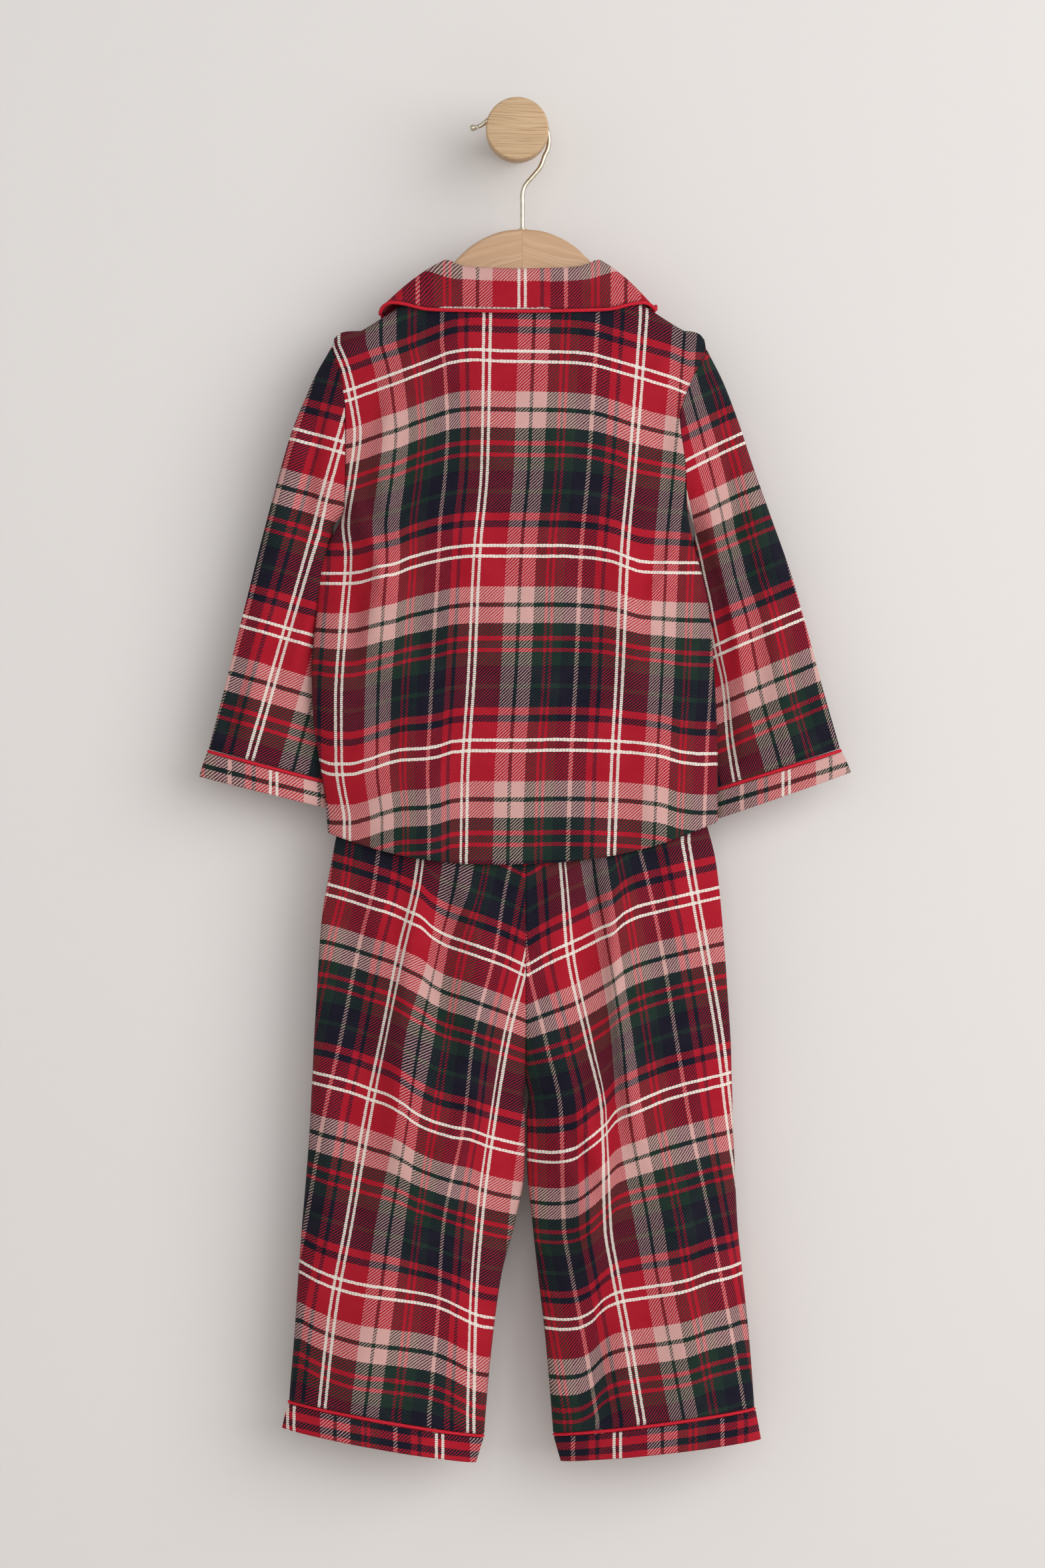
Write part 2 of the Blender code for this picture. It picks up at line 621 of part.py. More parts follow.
def legPlace(leg, share, down, front):
    """Point of a trouser panel: share 0 at the outer seam, 1 at the centre or inner seam."""
    end = LEG_END_OUTER[leg] + (LEG_END_INNER[leg] - LEG_END_OUTER[leg]) * share
    top = WAIST_Z - WAISTBAND - SEAM
    z = top + (end - top) * down
    outer, inner = smooth(LEG_ROWS, z, 1 if leg == 0 else 4), smooth(LEG_ROWS, z, 2 if leg == 0 else 3)
    inner = float(inner) + (-INSEAM_GAP if leg == 0 else INSEAM_GAP)
    x = float(outer) + (inner - float(outer)) * share
    depth = trouserDepth(x, z, share)
    return (x, HANG_Y + waistShift(z) + (depth if front else -depth), z)


def waistShift(z):
    """How far the trousers' middle plane stands behind the garment's, towards the top's back."""
    return -WAIST_SET_BACK * float(ease((z + 505) / 60))


LEG_DOWN = (0, 0.06, 0.12, 0.19, 0.27, 0.35, 0.42, 0.48, 0.54, 0.62, 0.71, 0.8, 0.9, 1.0)


def legPanels():
    shares = [(1 - math.cos(math.pi * k / 9)) / 2 for k in range(10)]
    for leg, side in enumerate(("left", "right")):
        for front, face in ((False, "back"), (True, "front")):
            grid = [[legPlace(leg, s, d, front) for d in LEG_DOWN] for s in shares]
            wall(f"leg_{side}_{face}", grid, seams=((0, 1), (1, 1), (2, 2), (3, 2)))
        outer = legPlace(leg, 0, 1, True)
        inner = legPlace(leg, 1, 1, True)
        end = (outer[0], outer[2], inner[0], inner[2], 0, 0, float(smooth(LEG_DEPTH_ROWS, -905)))
        cuff = LEG_CUFFS[leg] + (0, 0, LEG_CUFF_DEPTH)
        bandAndPiping(f"leg_{side}", end, cuff, ringPlaces(20))


def waistband():
    grid = []
    for s, back in ringPlaces(28):
        column = []
        for z in (WAIST_Z, WAIST_Z - WAISTBAND / 2, WAIST_Z - WAISTBAND):
            left, right = float(smooth(LEG_ROWS, z, 1)), float(smooth(LEG_ROWS, z, 4))
            x = left + (right - left) * s
            depth = float(smooth(HIP_DEPTH_ROWS, z)) * (4 * s * (1 - s)) ** 0.7
            column.append((x, HANG_Y + waistShift(z) + (-depth if back else depth), z))
        grid.append(column)
    wall("waistband", grid, BAND, ring=True, seams=((2, 2), (3, 2)))


def build():
    clearScene()
    wallPeg()
    hangerHook()
    hangerBoard()
    topBody()
    buttons()
    sleeve("left", SLEEVE_LEFT_ROWS, CUFF_LEFT, -1)
    sleeve("right", SLEEVE_RIGHT_ROWS, CUFF_RIGHT, 1)
    collar()
    legPanels()
    waistband()


build()
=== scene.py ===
# Child's checked flannel pyjama set, hung flat on a wooden hanger from a wall peg.
# Seen from the wearer's back. Lengths in the tables are millimetres.
import math

import bmesh
import bpy
import numpy as np
from mathutils import Matrix, Vector


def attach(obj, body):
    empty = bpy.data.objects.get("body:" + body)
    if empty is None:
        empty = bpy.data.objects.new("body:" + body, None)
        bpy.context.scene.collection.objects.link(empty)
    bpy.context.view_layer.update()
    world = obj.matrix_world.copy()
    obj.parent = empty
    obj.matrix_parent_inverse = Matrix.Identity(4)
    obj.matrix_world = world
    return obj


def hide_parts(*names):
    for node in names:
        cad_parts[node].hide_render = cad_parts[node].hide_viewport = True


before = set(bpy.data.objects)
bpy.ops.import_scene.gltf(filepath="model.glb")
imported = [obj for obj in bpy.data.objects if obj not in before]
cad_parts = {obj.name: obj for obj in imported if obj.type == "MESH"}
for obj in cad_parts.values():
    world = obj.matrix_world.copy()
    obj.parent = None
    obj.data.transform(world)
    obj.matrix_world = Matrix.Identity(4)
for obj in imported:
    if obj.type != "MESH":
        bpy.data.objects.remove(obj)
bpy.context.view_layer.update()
mm = 0.001

hang = {
    "y": -42.0,            # middle plane of hanger and garment
    "boardX": 3.7,
    "middleX": 1.5,        # middle of the top's shoulders
    "boardThickness": 12.0,
    "lift": 2.4,           # shoulder line above the board
    "roundOver": 7.5,
    "overReach": 8.6,
    "neckHalf": 57.0,
    "shoulderHalf": 131.5,
    "armhole": 13.0,
    "underShare": 0.316,   # share of the way from shoulder to hem where the armhole ends
}
seam = 0.3
pipeRadius = 1.25
pipeSlack = pipeRadius + seam + 0.1   # from a panel's edge to its piping's axis
foldGain = 1.4
sharpAngle = math.radians(38)

# One repeat of the check: name of the yarn and width, from left to right
warpSett = (
    ("cream", 1.95), ("red", 2.5), ("cream", 1.95), ("red", 17.53), ("pink", 9.1), ("green", 2.6),
    ("pink", 9.4), ("green", 7.5), ("red", 2.0), ("green", 2.2), ("red", 2.1), ("green", 6.3),
    ("navy", 9.8), ("rose", 2.7), ("navy", 9.4), ("red", 4.7), ("navy", 2.8), ("red", 9.47),
)
# and from the top down
weftSett = (
    ("cream", 1.95), ("red", 5.3), ("cream", 1.95), ("red", 20.4), ("pink", 11.2), ("green", 3.3),
    ("pink", 11.2), ("green", 8.7), ("red", 3.5), ("green", 5.1), ("red", 2.8), ("green", 9.4),
    ("navy", 12.9), ("green", 3.3), ("navy", 12.9), ("red", 5.8), ("navy", 4.4), ("red", 12.1),
)
warpRepeat = sum(width for _, width in warpSett)
weftRepeat = sum(width for _, width in weftSett)
warpPair = 3.2     # middle of the pair of cream lines, from the start of the repeat
weftPair = 4.6
yarn = {
    "red": (168, 20, 40), "pink": (209, 163, 158), "green": (22, 46, 38), "navy": (16, 18, 34),
    "cream": (234, 225, 215), "rose": (206, 166, 158),
}


def srgb(colour):
    parts = [c / 255 for c in colour]
    parts = [c / 12.92 if c <= 0.04045 else ((c + 0.055) / 1.055) ** 2.4 for c in parts]
    return (*parts, 1.0)


# ---------- curves through short tables ----------

def smooth(table, at, column=1):
    rows = sorted((row[0], row[column]) for row in table)
    xs = np.array([row[0] for row in rows], float)
    ys = np.array([row[1] for row in rows], float)
    at = np.clip(np.asarray(at, float), xs[0], xs[-1])
    slope = np.diff(ys) / np.diff(xs)
    tangent = np.zeros(len(xs))
    both = slope[:-1] * slope[1:] > 0
    tangent[1:-1][both] = 2 * slope[:-1][both] * slope[1:][both] / (slope[:-1] + slope[1:])[both]
    tangent[0], tangent[-1] = slope[0], slope[-1]
    k = np.clip(np.searchsorted(xs, at) - 1, 0, len(xs) - 2)
    step = xs[k + 1] - xs[k]
    t = (at - xs[k]) / step
    return (
        ys[k] * (1 + 2 * t) * (1 - t) ** 2 + ys[k + 1] * t * t * (3 - 2 * t)
        + step * (tangent[k] * t * (1 - t) ** 2 - tangent[k + 1] * t * t * (1 - t))
    )


def ease(t):
    t = np.clip(t, 0, 1)
    return t * t * (3 - 2 * t)


def foldLift(x, z, folds):
    # each fold: start x, z; end x, z; height; width; lean, which makes one side steeper
    lift = np.zeros(np.broadcast(x, z).shape)
    for startX, startZ, endX, endZ, height, width, lean in folds:
        runX, runZ = endX - startX, endZ - startZ
        long = math.hypot(runX, runZ)
        along = ((x - startX) * runX + (z - startZ) * runZ) / long ** 2
        bend = 0.35 * width * np.sin(3.1 * along + 0.05 * startX)
        across = ((x - startX) * runZ - (z - startZ) * runX) / long + bend
        q = across / (width * (1 + 0.25 * np.sin(4 * along + startZ)))
        q = np.where(q * lean > 0, q * (1 + 2.2 * abs(lean)), q)
        fade = ease((along + 0.3) / 0.55) * ease((1.3 - along) / 0.55)
        lift = lift + foldGain * height * fade * np.exp(-q * q)
    return lift


def drape(x, z, seed):
    # slow unevenness of hanging cloth, the same each run
    rng = np.random.default_rng(seed)
    lift = np.zeros(np.broadcast(x, z).shape)
    for size in (95, 62, 41, 27):
        for _ in range(3):
            turn = rng.normal(0, 0.45)
            phase = rng.uniform(0, 6.28)
            lift = lift + size / 95 * 0.42 * np.sin(
                2 * math.pi * (x * math.cos(turn) + 0.42 * z * math.sin(turn + 0.6)) / size + phase
            )
    return lift


# ---------- meshes ----------

def unit(vectors):
    return vectors / np.maximum(np.linalg.norm(vectors, axis=-1, keepdims=True), 1e-9)


def runAlong(path):
    return np.concatenate([[0], np.cumsum(np.linalg.norm(np.diff(path, axis=0), axis=1))])


def newMesh(name, points, faces):
    mesh = bpy.data.meshes.new(name)
    mesh.from_pydata((np.asarray(points, float).reshape(-1, 3) * mm).tolist(), [], faces)
    return mesh


def gridFaces(rows, columns, closedRows=False, closedColumns=False):
    # row and column where each face starts, and the faces
    i, j = np.meshgrid(
        np.arange(rows - (not closedRows)), np.arange(columns - (not closedColumns)), indexing="ij"
    )
    following, beside = (i + 1) % rows * columns, (j + 1) % columns
    corners = [i * columns + j, i * columns + beside, following + beside, following + j]
    return i, j, np.stack(corners, -1).reshape(-1, 4).tolist()


def endFaces(rows, columns):
    return [list(range(columns))[::-1], list(range((rows - 1) * columns, rows * columns))]


def layCut(mesh, corners):
    layer = mesh.uv_layers.new(name="cut")
    layer.uv.foreach_set("vector", (corners * mm).astype(np.float32).ravel())


def keep(name, mesh, material):
    made = bpy.data.objects.new(name, mesh)
    bpy.context.scene.collection.objects.link(made)
    mesh.materials.append(material)
    mesh.shade_smooth()
    return made


def clothGrid(name, points, uv, thickness=1.1, ring=False):
    # points [across, down, xyz] in mm; uv [across, down] in mm, one column more on a ring
    i, j, faces = gridFaces(*points.shape[:2], ring)
    mesh = newMesh(name, points, faces)
    layCut(mesh, np.stack([uv[i, j], uv[i, j + 1], uv[i + 1, j + 1], uv[i + 1, j]], 2))
    made = keep(name, mesh, finishes["flannel"])
    wall = made.modifiers.new("wall", "SOLIDIFY")
    wall.thickness = thickness * mm
    wall.offset = 0
    wall.use_rim = True
    return made


def cordMesh(name, path, radius, material, sides=12, closed=True):
    path = np.asarray(path, float)
    count = len(path)
    tangent = unit(np.roll(path, -1, 0) - np.roll(path, 1, 0) if closed else np.gradient(path, axis=0))
    frames = [unit(np.cross(tangent[0], (0.13, 0.2, 1.0)))]
    for way in tangent[1:]:
        frames.append(unit(frames[-1] - way * np.dot(frames[-1], way)))
    frames = np.array(frames)
    turn = 0
    if closed:
        carried = frames[-1] - tangent[0] * np.dot(frames[-1], tangent[0])
        other = np.cross(tangent[0], frames[0])
        turn = math.atan2(np.dot(carried, other), np.dot(carried, frames[0]))
    twist = -turn * np.arange(count) / count
    swing = (2 * math.pi * np.arange(sides) / sides + twist[:, None])[..., None]
    crossed = np.cross(tangent, frames)
    points = path[:, None] + radius * (np.cos(swing) * frames[:, None] + np.sin(swing) * crossed[:, None])
    i, j, faces = gridFaces(count, sides, closed, True)
    if not closed:
        faces += endFaces(count, sides)
    mesh = newMesh(name, points, faces)
    length = runAlong(path)
    total = np.append(length, length[-1] + np.linalg.norm(path[0] - path[-1]))
    girth = 2 * math.pi * radius / sides
    corners = np.zeros((len(mesh.loops), 2))
    corners[:4 * i.size, 0] = np.stack([total[i], total[i], total[i + 1], total[i + 1]], -1).ravel()
    corners[:4 * i.size, 1] = np.stack([j, j + 1, j + 1, j], -1).ravel() * girth
    layCut(mesh, corners)
    return keep(name, mesh, material)


def turned(name, centre, profile, material, sides=96):
    # round piece about an axis along Y: profile rows are place along it and radius
    ring = 2 * math.pi * np.arange(sides) / sides
    along, radius = np.array(profile, float).T[..., None]
    points = np.stack(np.broadcast_arrays(
        centre[0] + radius * np.cos(ring), centre[1] + along, centre[2] + radius * np.sin(ring)
    ), -1)
    faces = gridFaces(len(profile), sides, False, True)[2] + endFaces(len(profile), sides)
    mesh = newMesh(name, points, faces)
    build = bmesh.new()
    build.from_mesh(mesh)
    bmesh.ops.recalc_face_normals(build, faces=build.faces)
    build.to_mesh(mesh)
    build.free()
    made = keep(name, mesh, material)
    mesh.set_sharp_from_angle(angle=sharpAngle)
    return made


# ---------- materials ----------

def add(tree, kind, values=(), **settings):
    node = tree.nodes.new(kind)
    for key, value in settings.items():
        setattr(node, key, value)
    for place, value in (values.items() if isinstance(values, dict) else enumerate(values)):
        if isinstance(value, bpy.types.NodeSocket):
            tree.links.new(value, node.inputs[place])
        elif value is not None:
            node.inputs[place].default_value = value
    return node


def sums(tree, operation, *values):
    return add(tree, "ShaderNodeMath", values, operation=operation).outputs[0]


def times(tree, *values):
    return sums(tree, "MULTIPLY", *values)


def plus(tree, *values):
    return sums(tree, "ADD", *values)


def fraction(tree, value, rate):
    return sums(tree, "FRACT", times(tree, value, rate))


def vectors(tree, operation, *values):
    return add(tree, "ShaderNodeVectorMath", values, operation=operation).outputs[0]


def joined(tree, *values):
    return add(tree, "ShaderNodeCombineXYZ", values).outputs[0]


def parts(tree, vector):
    return add(tree, "ShaderNodeSeparateXYZ", (vector,)).outputs


def gamma(tree, colour, power):
    return add(tree, "ShaderNodeGamma", (colour, power)).outputs[0]


def solidPlace(tree):
    return add(tree, "ShaderNodeTexCoord").outputs["Object"]


def cutPlace(tree):
    return add(tree, "ShaderNodeUVMap", uv_map="cut").outputs[0]


def mixed(tree, factor, one, two, blend="MIX"):
    values = {0: factor, 6: one, 7: two}
    return add(tree, "ShaderNodeMix", values, data_type="RGBA", blend_type=blend).outputs[2]


def shaded(tree, colour, shade):
    return mixed(tree, 1.0, colour, joined(tree, shade, shade, shade), "MULTIPLY")


def noise(tree, vector, scale, detail=2.0, rough=0.5, stretch=None):
    if stretch:
        vector = add(tree, "ShaderNodeMapping", {0: vector, 3: stretch}).outputs[0]
    return add(tree, "ShaderNodeTexNoise", {0: vector, 2: scale, 3: detail, 4: rough}).outputs[0]


def ramp(tree, factor, stops, interpolation="LINEAR"):
    node = add(tree, "ShaderNodeValToRGB", (factor,))
    node.color_ramp.interpolation = interpolation
    while len(node.color_ramp.elements) < len(stops):
        node.color_ramp.elements.new(1.0)
    for element, (place, colour) in zip(node.color_ramp.elements, stops):
        element.position = place
        element.color = colour
    return node


def span(tree, value, low, high, outLow=0.0, outHigh=1.0):
    return add(tree, "ShaderNodeMapRange", (value, low, high, outLow, outHigh)).outputs[0]


def group(name, sockets):
    tree = bpy.data.node_groups.new(name, "ShaderNodeTree")
    for title, way, kind in sockets:
        tree.interface.new_socket(name=title, in_out=way, socket_type=kind)
    return tree, tree.nodes.new("NodeGroupInput").outputs, tree.nodes.new("NodeGroupOutput").inputs


def settStops(sett):
    stops, at, total = [], 0.0, sum(width for _, width in sett)
    for name, width in sett:
        stops.append((at / total, (*srgb(yarn[name])[:3], 1.0 if name == "cream" else 0.0)))
        at += width
    return stops


def checkGroup():
    tree, given, made = group("woven check", (
        ("Vector", "INPUT", "NodeSocketVector"), ("Color", "OUTPUT", "NodeSocketColor"),
        ("Height", "OUTPUT", "NodeSocketFloat"), ("Nap", "OUTPUT", "NodeSocketFloat"),
    ))
    vector = given[0]
    # the threads wander a little, and more over longer distances
    wander = add(tree, "ShaderNodeTexNoise", {0: vector, 2: 320.0, 3: 2.0}).outputs[1]
    moved = vectors(tree, "SUBTRACT", wander, (0.5, 0.5, 0.5))
    moved = vectors(tree, "SCALE", moved, None, None, 0.0009)
    across, down = parts(tree, vectors(tree, "ADD", vector, moved))[:2]
    threadWidth = 0.000583
    i, j = (sums(tree, "DIVIDE", place, threadWidth) for place in (across, down))
    colours = []
    for place, repeat, sett in ((across, warpRepeat, warpSett), (down, weftRepeat, weftSett)):
        share = sums(tree, "FRACT", sums(tree, "DIVIDE", place, repeat * mm))
        colours.append(ramp(tree, share, settStops(sett), "CONSTANT").outputs)
    (warp, warpLine), (weft, weftLine) = colours
    diagonal = plus(tree, fraction(tree, plus(tree, i, j), 0.25), 0.25)
    over = span(tree, sums(tree, "PINGPONG", diagonal, 0.5), 0.24, 0.36)
    ground = mixed(tree, over, weft, warp)
    # painted shade: crossed yarns are darkened below their plain average, standing in for the shadow in the
    # spaces between them
    warpShare, gapShadeGamma = 0.4, 1.6
    roots = [gamma(tree, side, 1 / gapShadeGamma) for side in (weft, warp)]
    seen = gamma(tree, mixed(tree, warpShare, *roots), gapShadeGamma)
    plain = mixed(tree, warpShare, weft, warp)
    ground = mixed(tree, 1.0, ground, mixed(tree, 1.0, seen, plain, "DIVIDE"), "MULTIPLY")
    # floats of the raised lines, tied down every few threads
    floats = []
    for line, thread, rate, tied, dip in ((warpLine, j, 0.4, 0.24, 0.85), (weftLine, i, 0.25, 0.22, 0.5)):
        tie = times(tree, sums(tree, "LESS_THAN", fraction(tree, thread, rate), tied), dip)
        floats.append(times(tree, line, sums(tree, "SUBTRACT", 1.0, tie)))
    line = sums(tree, "MAXIMUM", *floats)
    onLine = sums(tree, "MAXIMUM", warpLine, weftLine)
    ground = mixed(tree, onLine, ground, mixed(tree, warpLine, warp, weft))
    woven = mixed(tree, line, ground, srgb(yarn["cream"]))
    # brushed fibres lie over the colours
    nap = noise(tree, vector, 2600.0, 3.0, 0.6, (1.0, 0.55, 1.0))
    patch = noise(tree, vector, 55.0, 3.0)
    fuzz = times(tree, span(tree, nap, 0.42, 0.75), span(tree, patch, 0.3, 0.7, 0.01, 0.05))
    woven = mixed(tree, fuzz, woven, srgb((196, 166, 164)))
    woven = shaded(tree, woven, span(tree, patch, 0.25, 0.75, 0.94, 1.04))
    height = plus(tree, times(tree, over, 0.35), times(tree, line, 0.9))
    height = plus(tree, height, times(tree, nap, 0.9))
    for socket, value in zip(made, (woven, height, nap)):
        tree.links.new(value, socket)
    return tree


def grainGroup():
    # growth rings drawn out along x, with pores and slow changes of tone
    tree, given, made = group("wood grain", (
        ("Vector", "INPUT", "NodeSocketVector"), ("Bend", "INPUT", "NodeSocketFloat"),
        ("Rings", "OUTPUT", "NodeSocketFloat"),
        ("Pores", "OUTPUT", "NodeSocketFloat"), ("Tone", "OUTPUT", "NodeSocketFloat"),
    ))
    vector, bend = given[0], given[1]
    slow = noise(tree, vector, 14.0, 2.0, 0.5, (1.0, 1.0, 2.2))
    moved = vectors(tree, "ADD", vector, joined(tree, 0.0, 0.0, times(tree, slow, bend)))
    rings = noise(tree, moved, 420.0, 2.0, 0.5, (0.009, 0.3, 1.0))
    pores = noise(tree, vector, 1500.0, 2.0, 0.6, (0.045, 0.3, 1.0))
    for socket, value in zip(made, (rings, pores, slow)):
        tree.links.new(value, socket)
    return tree


def blank(name):
    made = bpy.data.materials.new(name)
    made.use_nodes = True
    return made, made.node_tree, made.node_tree.nodes["Principled BSDF"]


def join(tree, shader, **sockets):
    for key, value in sockets.items():
        socket = shader.inputs[key.replace("_", " ")]
        if isinstance(value, bpy.types.NodeSocket):
            tree.links.new(value, socket)
        else:
            socket.default_value = value


def bump(tree, height, strength, distance):
    return add(tree, "ShaderNodeBump", {
        "Height": height, "Strength": strength, "Distance": distance
    }).outputs[0]


def flannelMaterial(name):
    made, tree, shader = blank(name)
    weave = add(tree, "ShaderNodeGroup", node_tree=groups["check"])
    tree.links.new(cutPlace(tree), weave.inputs[0])
    join(
        tree, shader, Base_Color=weave.outputs[0], Roughness=0.93, Sheen_Weight=0.03, Sheen_Roughness=0.55,
        Sheen_Tint=(1.0, 0.9, 0.88, 1.0), Specular_IOR_Level=0.12,
        Normal=bump(tree, weave.outputs[1], 0.55, 0.0004),
    )
    return made


def pipingMaterial():
    made, tree, shader = blank("piping cotton")
    place = cutPlace(tree)
    split = parts(tree, place)
    slant = plus(tree, times(tree, split[0], 2300), times(tree, split[1], 1900))
    ridge = sums(tree, "PINGPONG", slant, 0.5)
    soft = noise(tree, place, 900.0, 3.0)
    tone = ramp(tree, plus(tree, times(tree, ridge, 0.5), times(tree, soft, 0.75)), (
        (0.2, srgb((158, 10, 30))), (0.55, srgb((204, 22, 46))), (0.9, srgb((226, 48, 66))),
    ))
    join(
        tree, shader, Base_Color=tone.outputs[0], Roughness=0.7, Sheen_Weight=0.03, Specular_IOR_Level=0.25,
        Normal=bump(tree, plus(tree, ridge, soft), 0.4, 0.0002),
    )
    return made


def woodMaterial(name, colours, chevron, rough):
    made, tree, shader = blank(name)
    place = solidPlace(tree)
    darker, middle, paler = (srgb(c) for c in colours)
    if chevron:
        # two halves meet at the middle, and the grain of each runs down its arm
        slope, otherTree, bend = 0.3, 0.31, 0.02
        split = parts(tree, place)
        aside = sums(tree, "SUBTRACT", split[0], hang["boardX"] * mm)
        out = sums(tree, "ABSOLUTE", aside)
        fall = plus(tree, split[2], times(tree, out, slope))
        fall = plus(tree, fall, times(tree, sums(tree, "SIGN", aside), otherTree))
        place = joined(tree, out, split[1], fall)
        stops = ((0.3, darker), (0.5, middle), (0.68, paler))
    else:
        # narrow dark line at the end of each year's growth
        bend = 0.009
        stops = (
            (0.3, middle), (0.40, paler), (0.425, darker), (0.46, paler), (0.52, middle),
            (0.545, darker), (0.58, paler), (0.66, middle), (0.68, darker), (0.72, paler),
        )
    grain = add(tree, "ShaderNodeGroup", node_tree=groups["grain"])
    tree.links.new(place, grain.inputs[0])
    grain.inputs[1].default_value = bend
    rings, pores, slow = grain.outputs
    pores = span(tree, pores, 0.56, 0.7, 0.0, 0.4)
    tone = mixed(tree, pores, ramp(tree, rings, stops).outputs[0], darker)
    tone = shaded(tree, tone, span(tree, slow, 0.3, 0.7, 0.92, 1.07))
    if chevron:
        joint = span(tree, out, 0.0001, 0.0004, 0.22, 0.0)
        tone = mixed(tree, joint, tone, srgb((120, 78, 48)))
    height = sums(tree, "SUBTRACT", times(tree, rings, 0.5), pores)
    join(
        tree, shader, Base_Color=tone, Specular_IOR_Level=0.35, Normal=bump(tree, height, 0.25, 0.0002),
        Roughness=span(tree, rings, 0.3, 0.7, rough + 0.08, rough - 0.05),
    )
    return made


def metalMaterial():
    made, tree, shader = blank("satin nickel")
    place = solidPlace(tree)
    worn = noise(tree, place, 260.0, 3.0)
    fine = noise(tree, place, 5200.0, 2.0)
    tone = ramp(tree, worn, ((0.3, srgb((196, 186, 166))), (0.7, srgb((222, 214, 196))))).outputs[0]
    join(
        tree, shader, Base_Color=tone, Metallic=1.0, Roughness=span(tree, worn, 0.3, 0.7, 0.22, 0.36),
        Normal=bump(tree, fine, 0.08, 0.00005),
    )
    return made


def buttonMaterial():
    made, tree, shader = blank("button resin")
    place = solidPlace(tree)
    swirl = noise(tree, place, 320.0, 4.0, 0.6, (1.0, 1.0, 2.0))
    tone = ramp(tree, swirl, (
        (0.3, srgb((226, 214, 196))), (0.52, srgb((240, 232, 218))), (0.72, srgb((250, 246, 238))),
    ))
    join(
        tree, shader, Base_Color=tone.outputs[0], Roughness=0.24, Coat_Weight=0.3, Coat_Roughness=0.12,
        Normal=bump(tree, swirl, 0.05, 0.0001),
    )
    return made


def threadMaterial(name, colour):
    made, tree, shader = blank(name)
    place = solidPlace(tree)
    ply = noise(tree, place, 3400.0, 2.0)
    tone = mixed(tree, span(tree, ply, 0.3, 0.7, 0.0, 0.35), srgb(colour), srgb([c * 0.6 for c in colour]))
    join(tree, shader, Base_Color=tone, Roughness=0.8, Normal=bump(tree, ply, 0.3, 0.0001))
    return made


def plasterMaterial(name, colour):
    # painted wall, seen through from behind
    made, tree, shader = blank(name)
    place = solidPlace(tree)
    slow = noise(tree, place, 1.6, 2.0)
    fine = noise(tree, place, 420.0, 4.0)
    tone = mixed(tree, slow, srgb([c * 0.985 for c in colour]), srgb(colour))
    join(
        tree, shader, Base_Color=tone, Roughness=0.95, Specular_IOR_Level=0.1,
        Normal=bump(tree, fine, 0.05, 0.0003),
    )
    clear = add(tree, "ShaderNodeBsdfTransparent")
    behind = add(tree, "ShaderNodeNewGeometry").outputs["Backfacing"]
    either = add(tree, "ShaderNodeMixShader", {0: behind, 1: shader.outputs[0], 2: clear.outputs[0]})
    tree.links.new(either.outputs[0], tree.nodes["Material Output"].inputs[0])
    return made


groups = {"check": checkGroup(), "grain": grainGroup()}
finishes = {
    "flannel": flannelMaterial("brushed check flannel"),
    "piping": pipingMaterial(),
    "beech": woodMaterial("beech", ((190, 151, 116), (200, 163, 129), (207, 173, 141)), True, 0.46),
    "pale wood": woodMaterial("pale oak", ((168, 132, 94), (198, 165, 127), (208, 180, 145)), False, 0.55),
    "nickel": metalMaterial(),
    "button": buttonMaterial(),
    "dark thread": threadMaterial("dark thread", (44, 18, 30)),
}
print("materials made")


# ---------- the top ----------

boardRows = (
    (0, -68.0, -128), (12, -69.2, -128), (24, -73.0, -129), (36, -79.8, -131), (46, -89.0, -134),
    (53, -97.0, -137), (60, -104.0, -140), (70, -112.5, -144), (85, -124.0, -151), (100, -134.0, -157),
    (108, -139.0, -160), (114, -142.5, -161),
)
# height, left and right edge, bulge of back and front
topRows = (
    (-100, -124, 128, 3, 3), (-151, -130, 133, 8, 7), (-175, -123, 122, 12, 9),
    (-200, -120.5, 114, 15, 10), (-235, -120.5, 118, 17, 11), (-265, -122, 119.5, 18, 11),
    (-290, -132.4, 124, 19, 11), (-310, -139, 129.6, 20, 11), (-337, -141, 135, 20, 11),
    (-378, -144.6, 138.5, 20, 12), (-410, -143.7, 140, 20, 13), (-438, -140, 141, 20, 14),
    (-471, -135, 141, 19, 14), (-520, -131.5, 141, 18, 14),
)
tips = {-1: -151.0, 1: -153.0}     # height of each shoulder tip
sleeveRows = {
    -1: (
        (-130, -151, -122, -265, 0, 0, 13), (-142, -172, -125, -270.5, 0, 1.5, 13),
        (-153, -198, -131.5, -280, 1, 6, 12), (-163, -227, -131, -297, 2, 12, 11),
        (-173, -261, -124, -318, 3, 16, 10), (-184, -302, -120, -348, 4, 17, 9.5),
        (-195, -346, -121, -382, 4, 17, 9), (-206, -390, -125, -418, 4, 15, 9),
        (-217.5, -434.5, -132, -457, 4, 11, 10),
    ),
    1: (
        (133, -153, 119.5, -265, 0, 0, 13), (144, -175, 122.5, -271, 0, 1.5, 13),
        (154, -202, 125.5, -281, 1, 6, 12), (164, -232, 124, -298, 2, 12, 11),
        (177, -267, 119, -320, 3, 16, 10), (192, -308, 118, -350, 4, 17, 9.5),
        (205, -353, 121, -386, 4, 17, 9), (216, -394, 127, -426, 4, 15, 9),
        (227.5, -434, 136, -463, 4, 11, 10),
    ),
}
sleeveCuffs = {-1: (-224, -454, -131, -477, 4, 11, 11), 1: (235, -451, 138, -485, 4, 11, 11)}

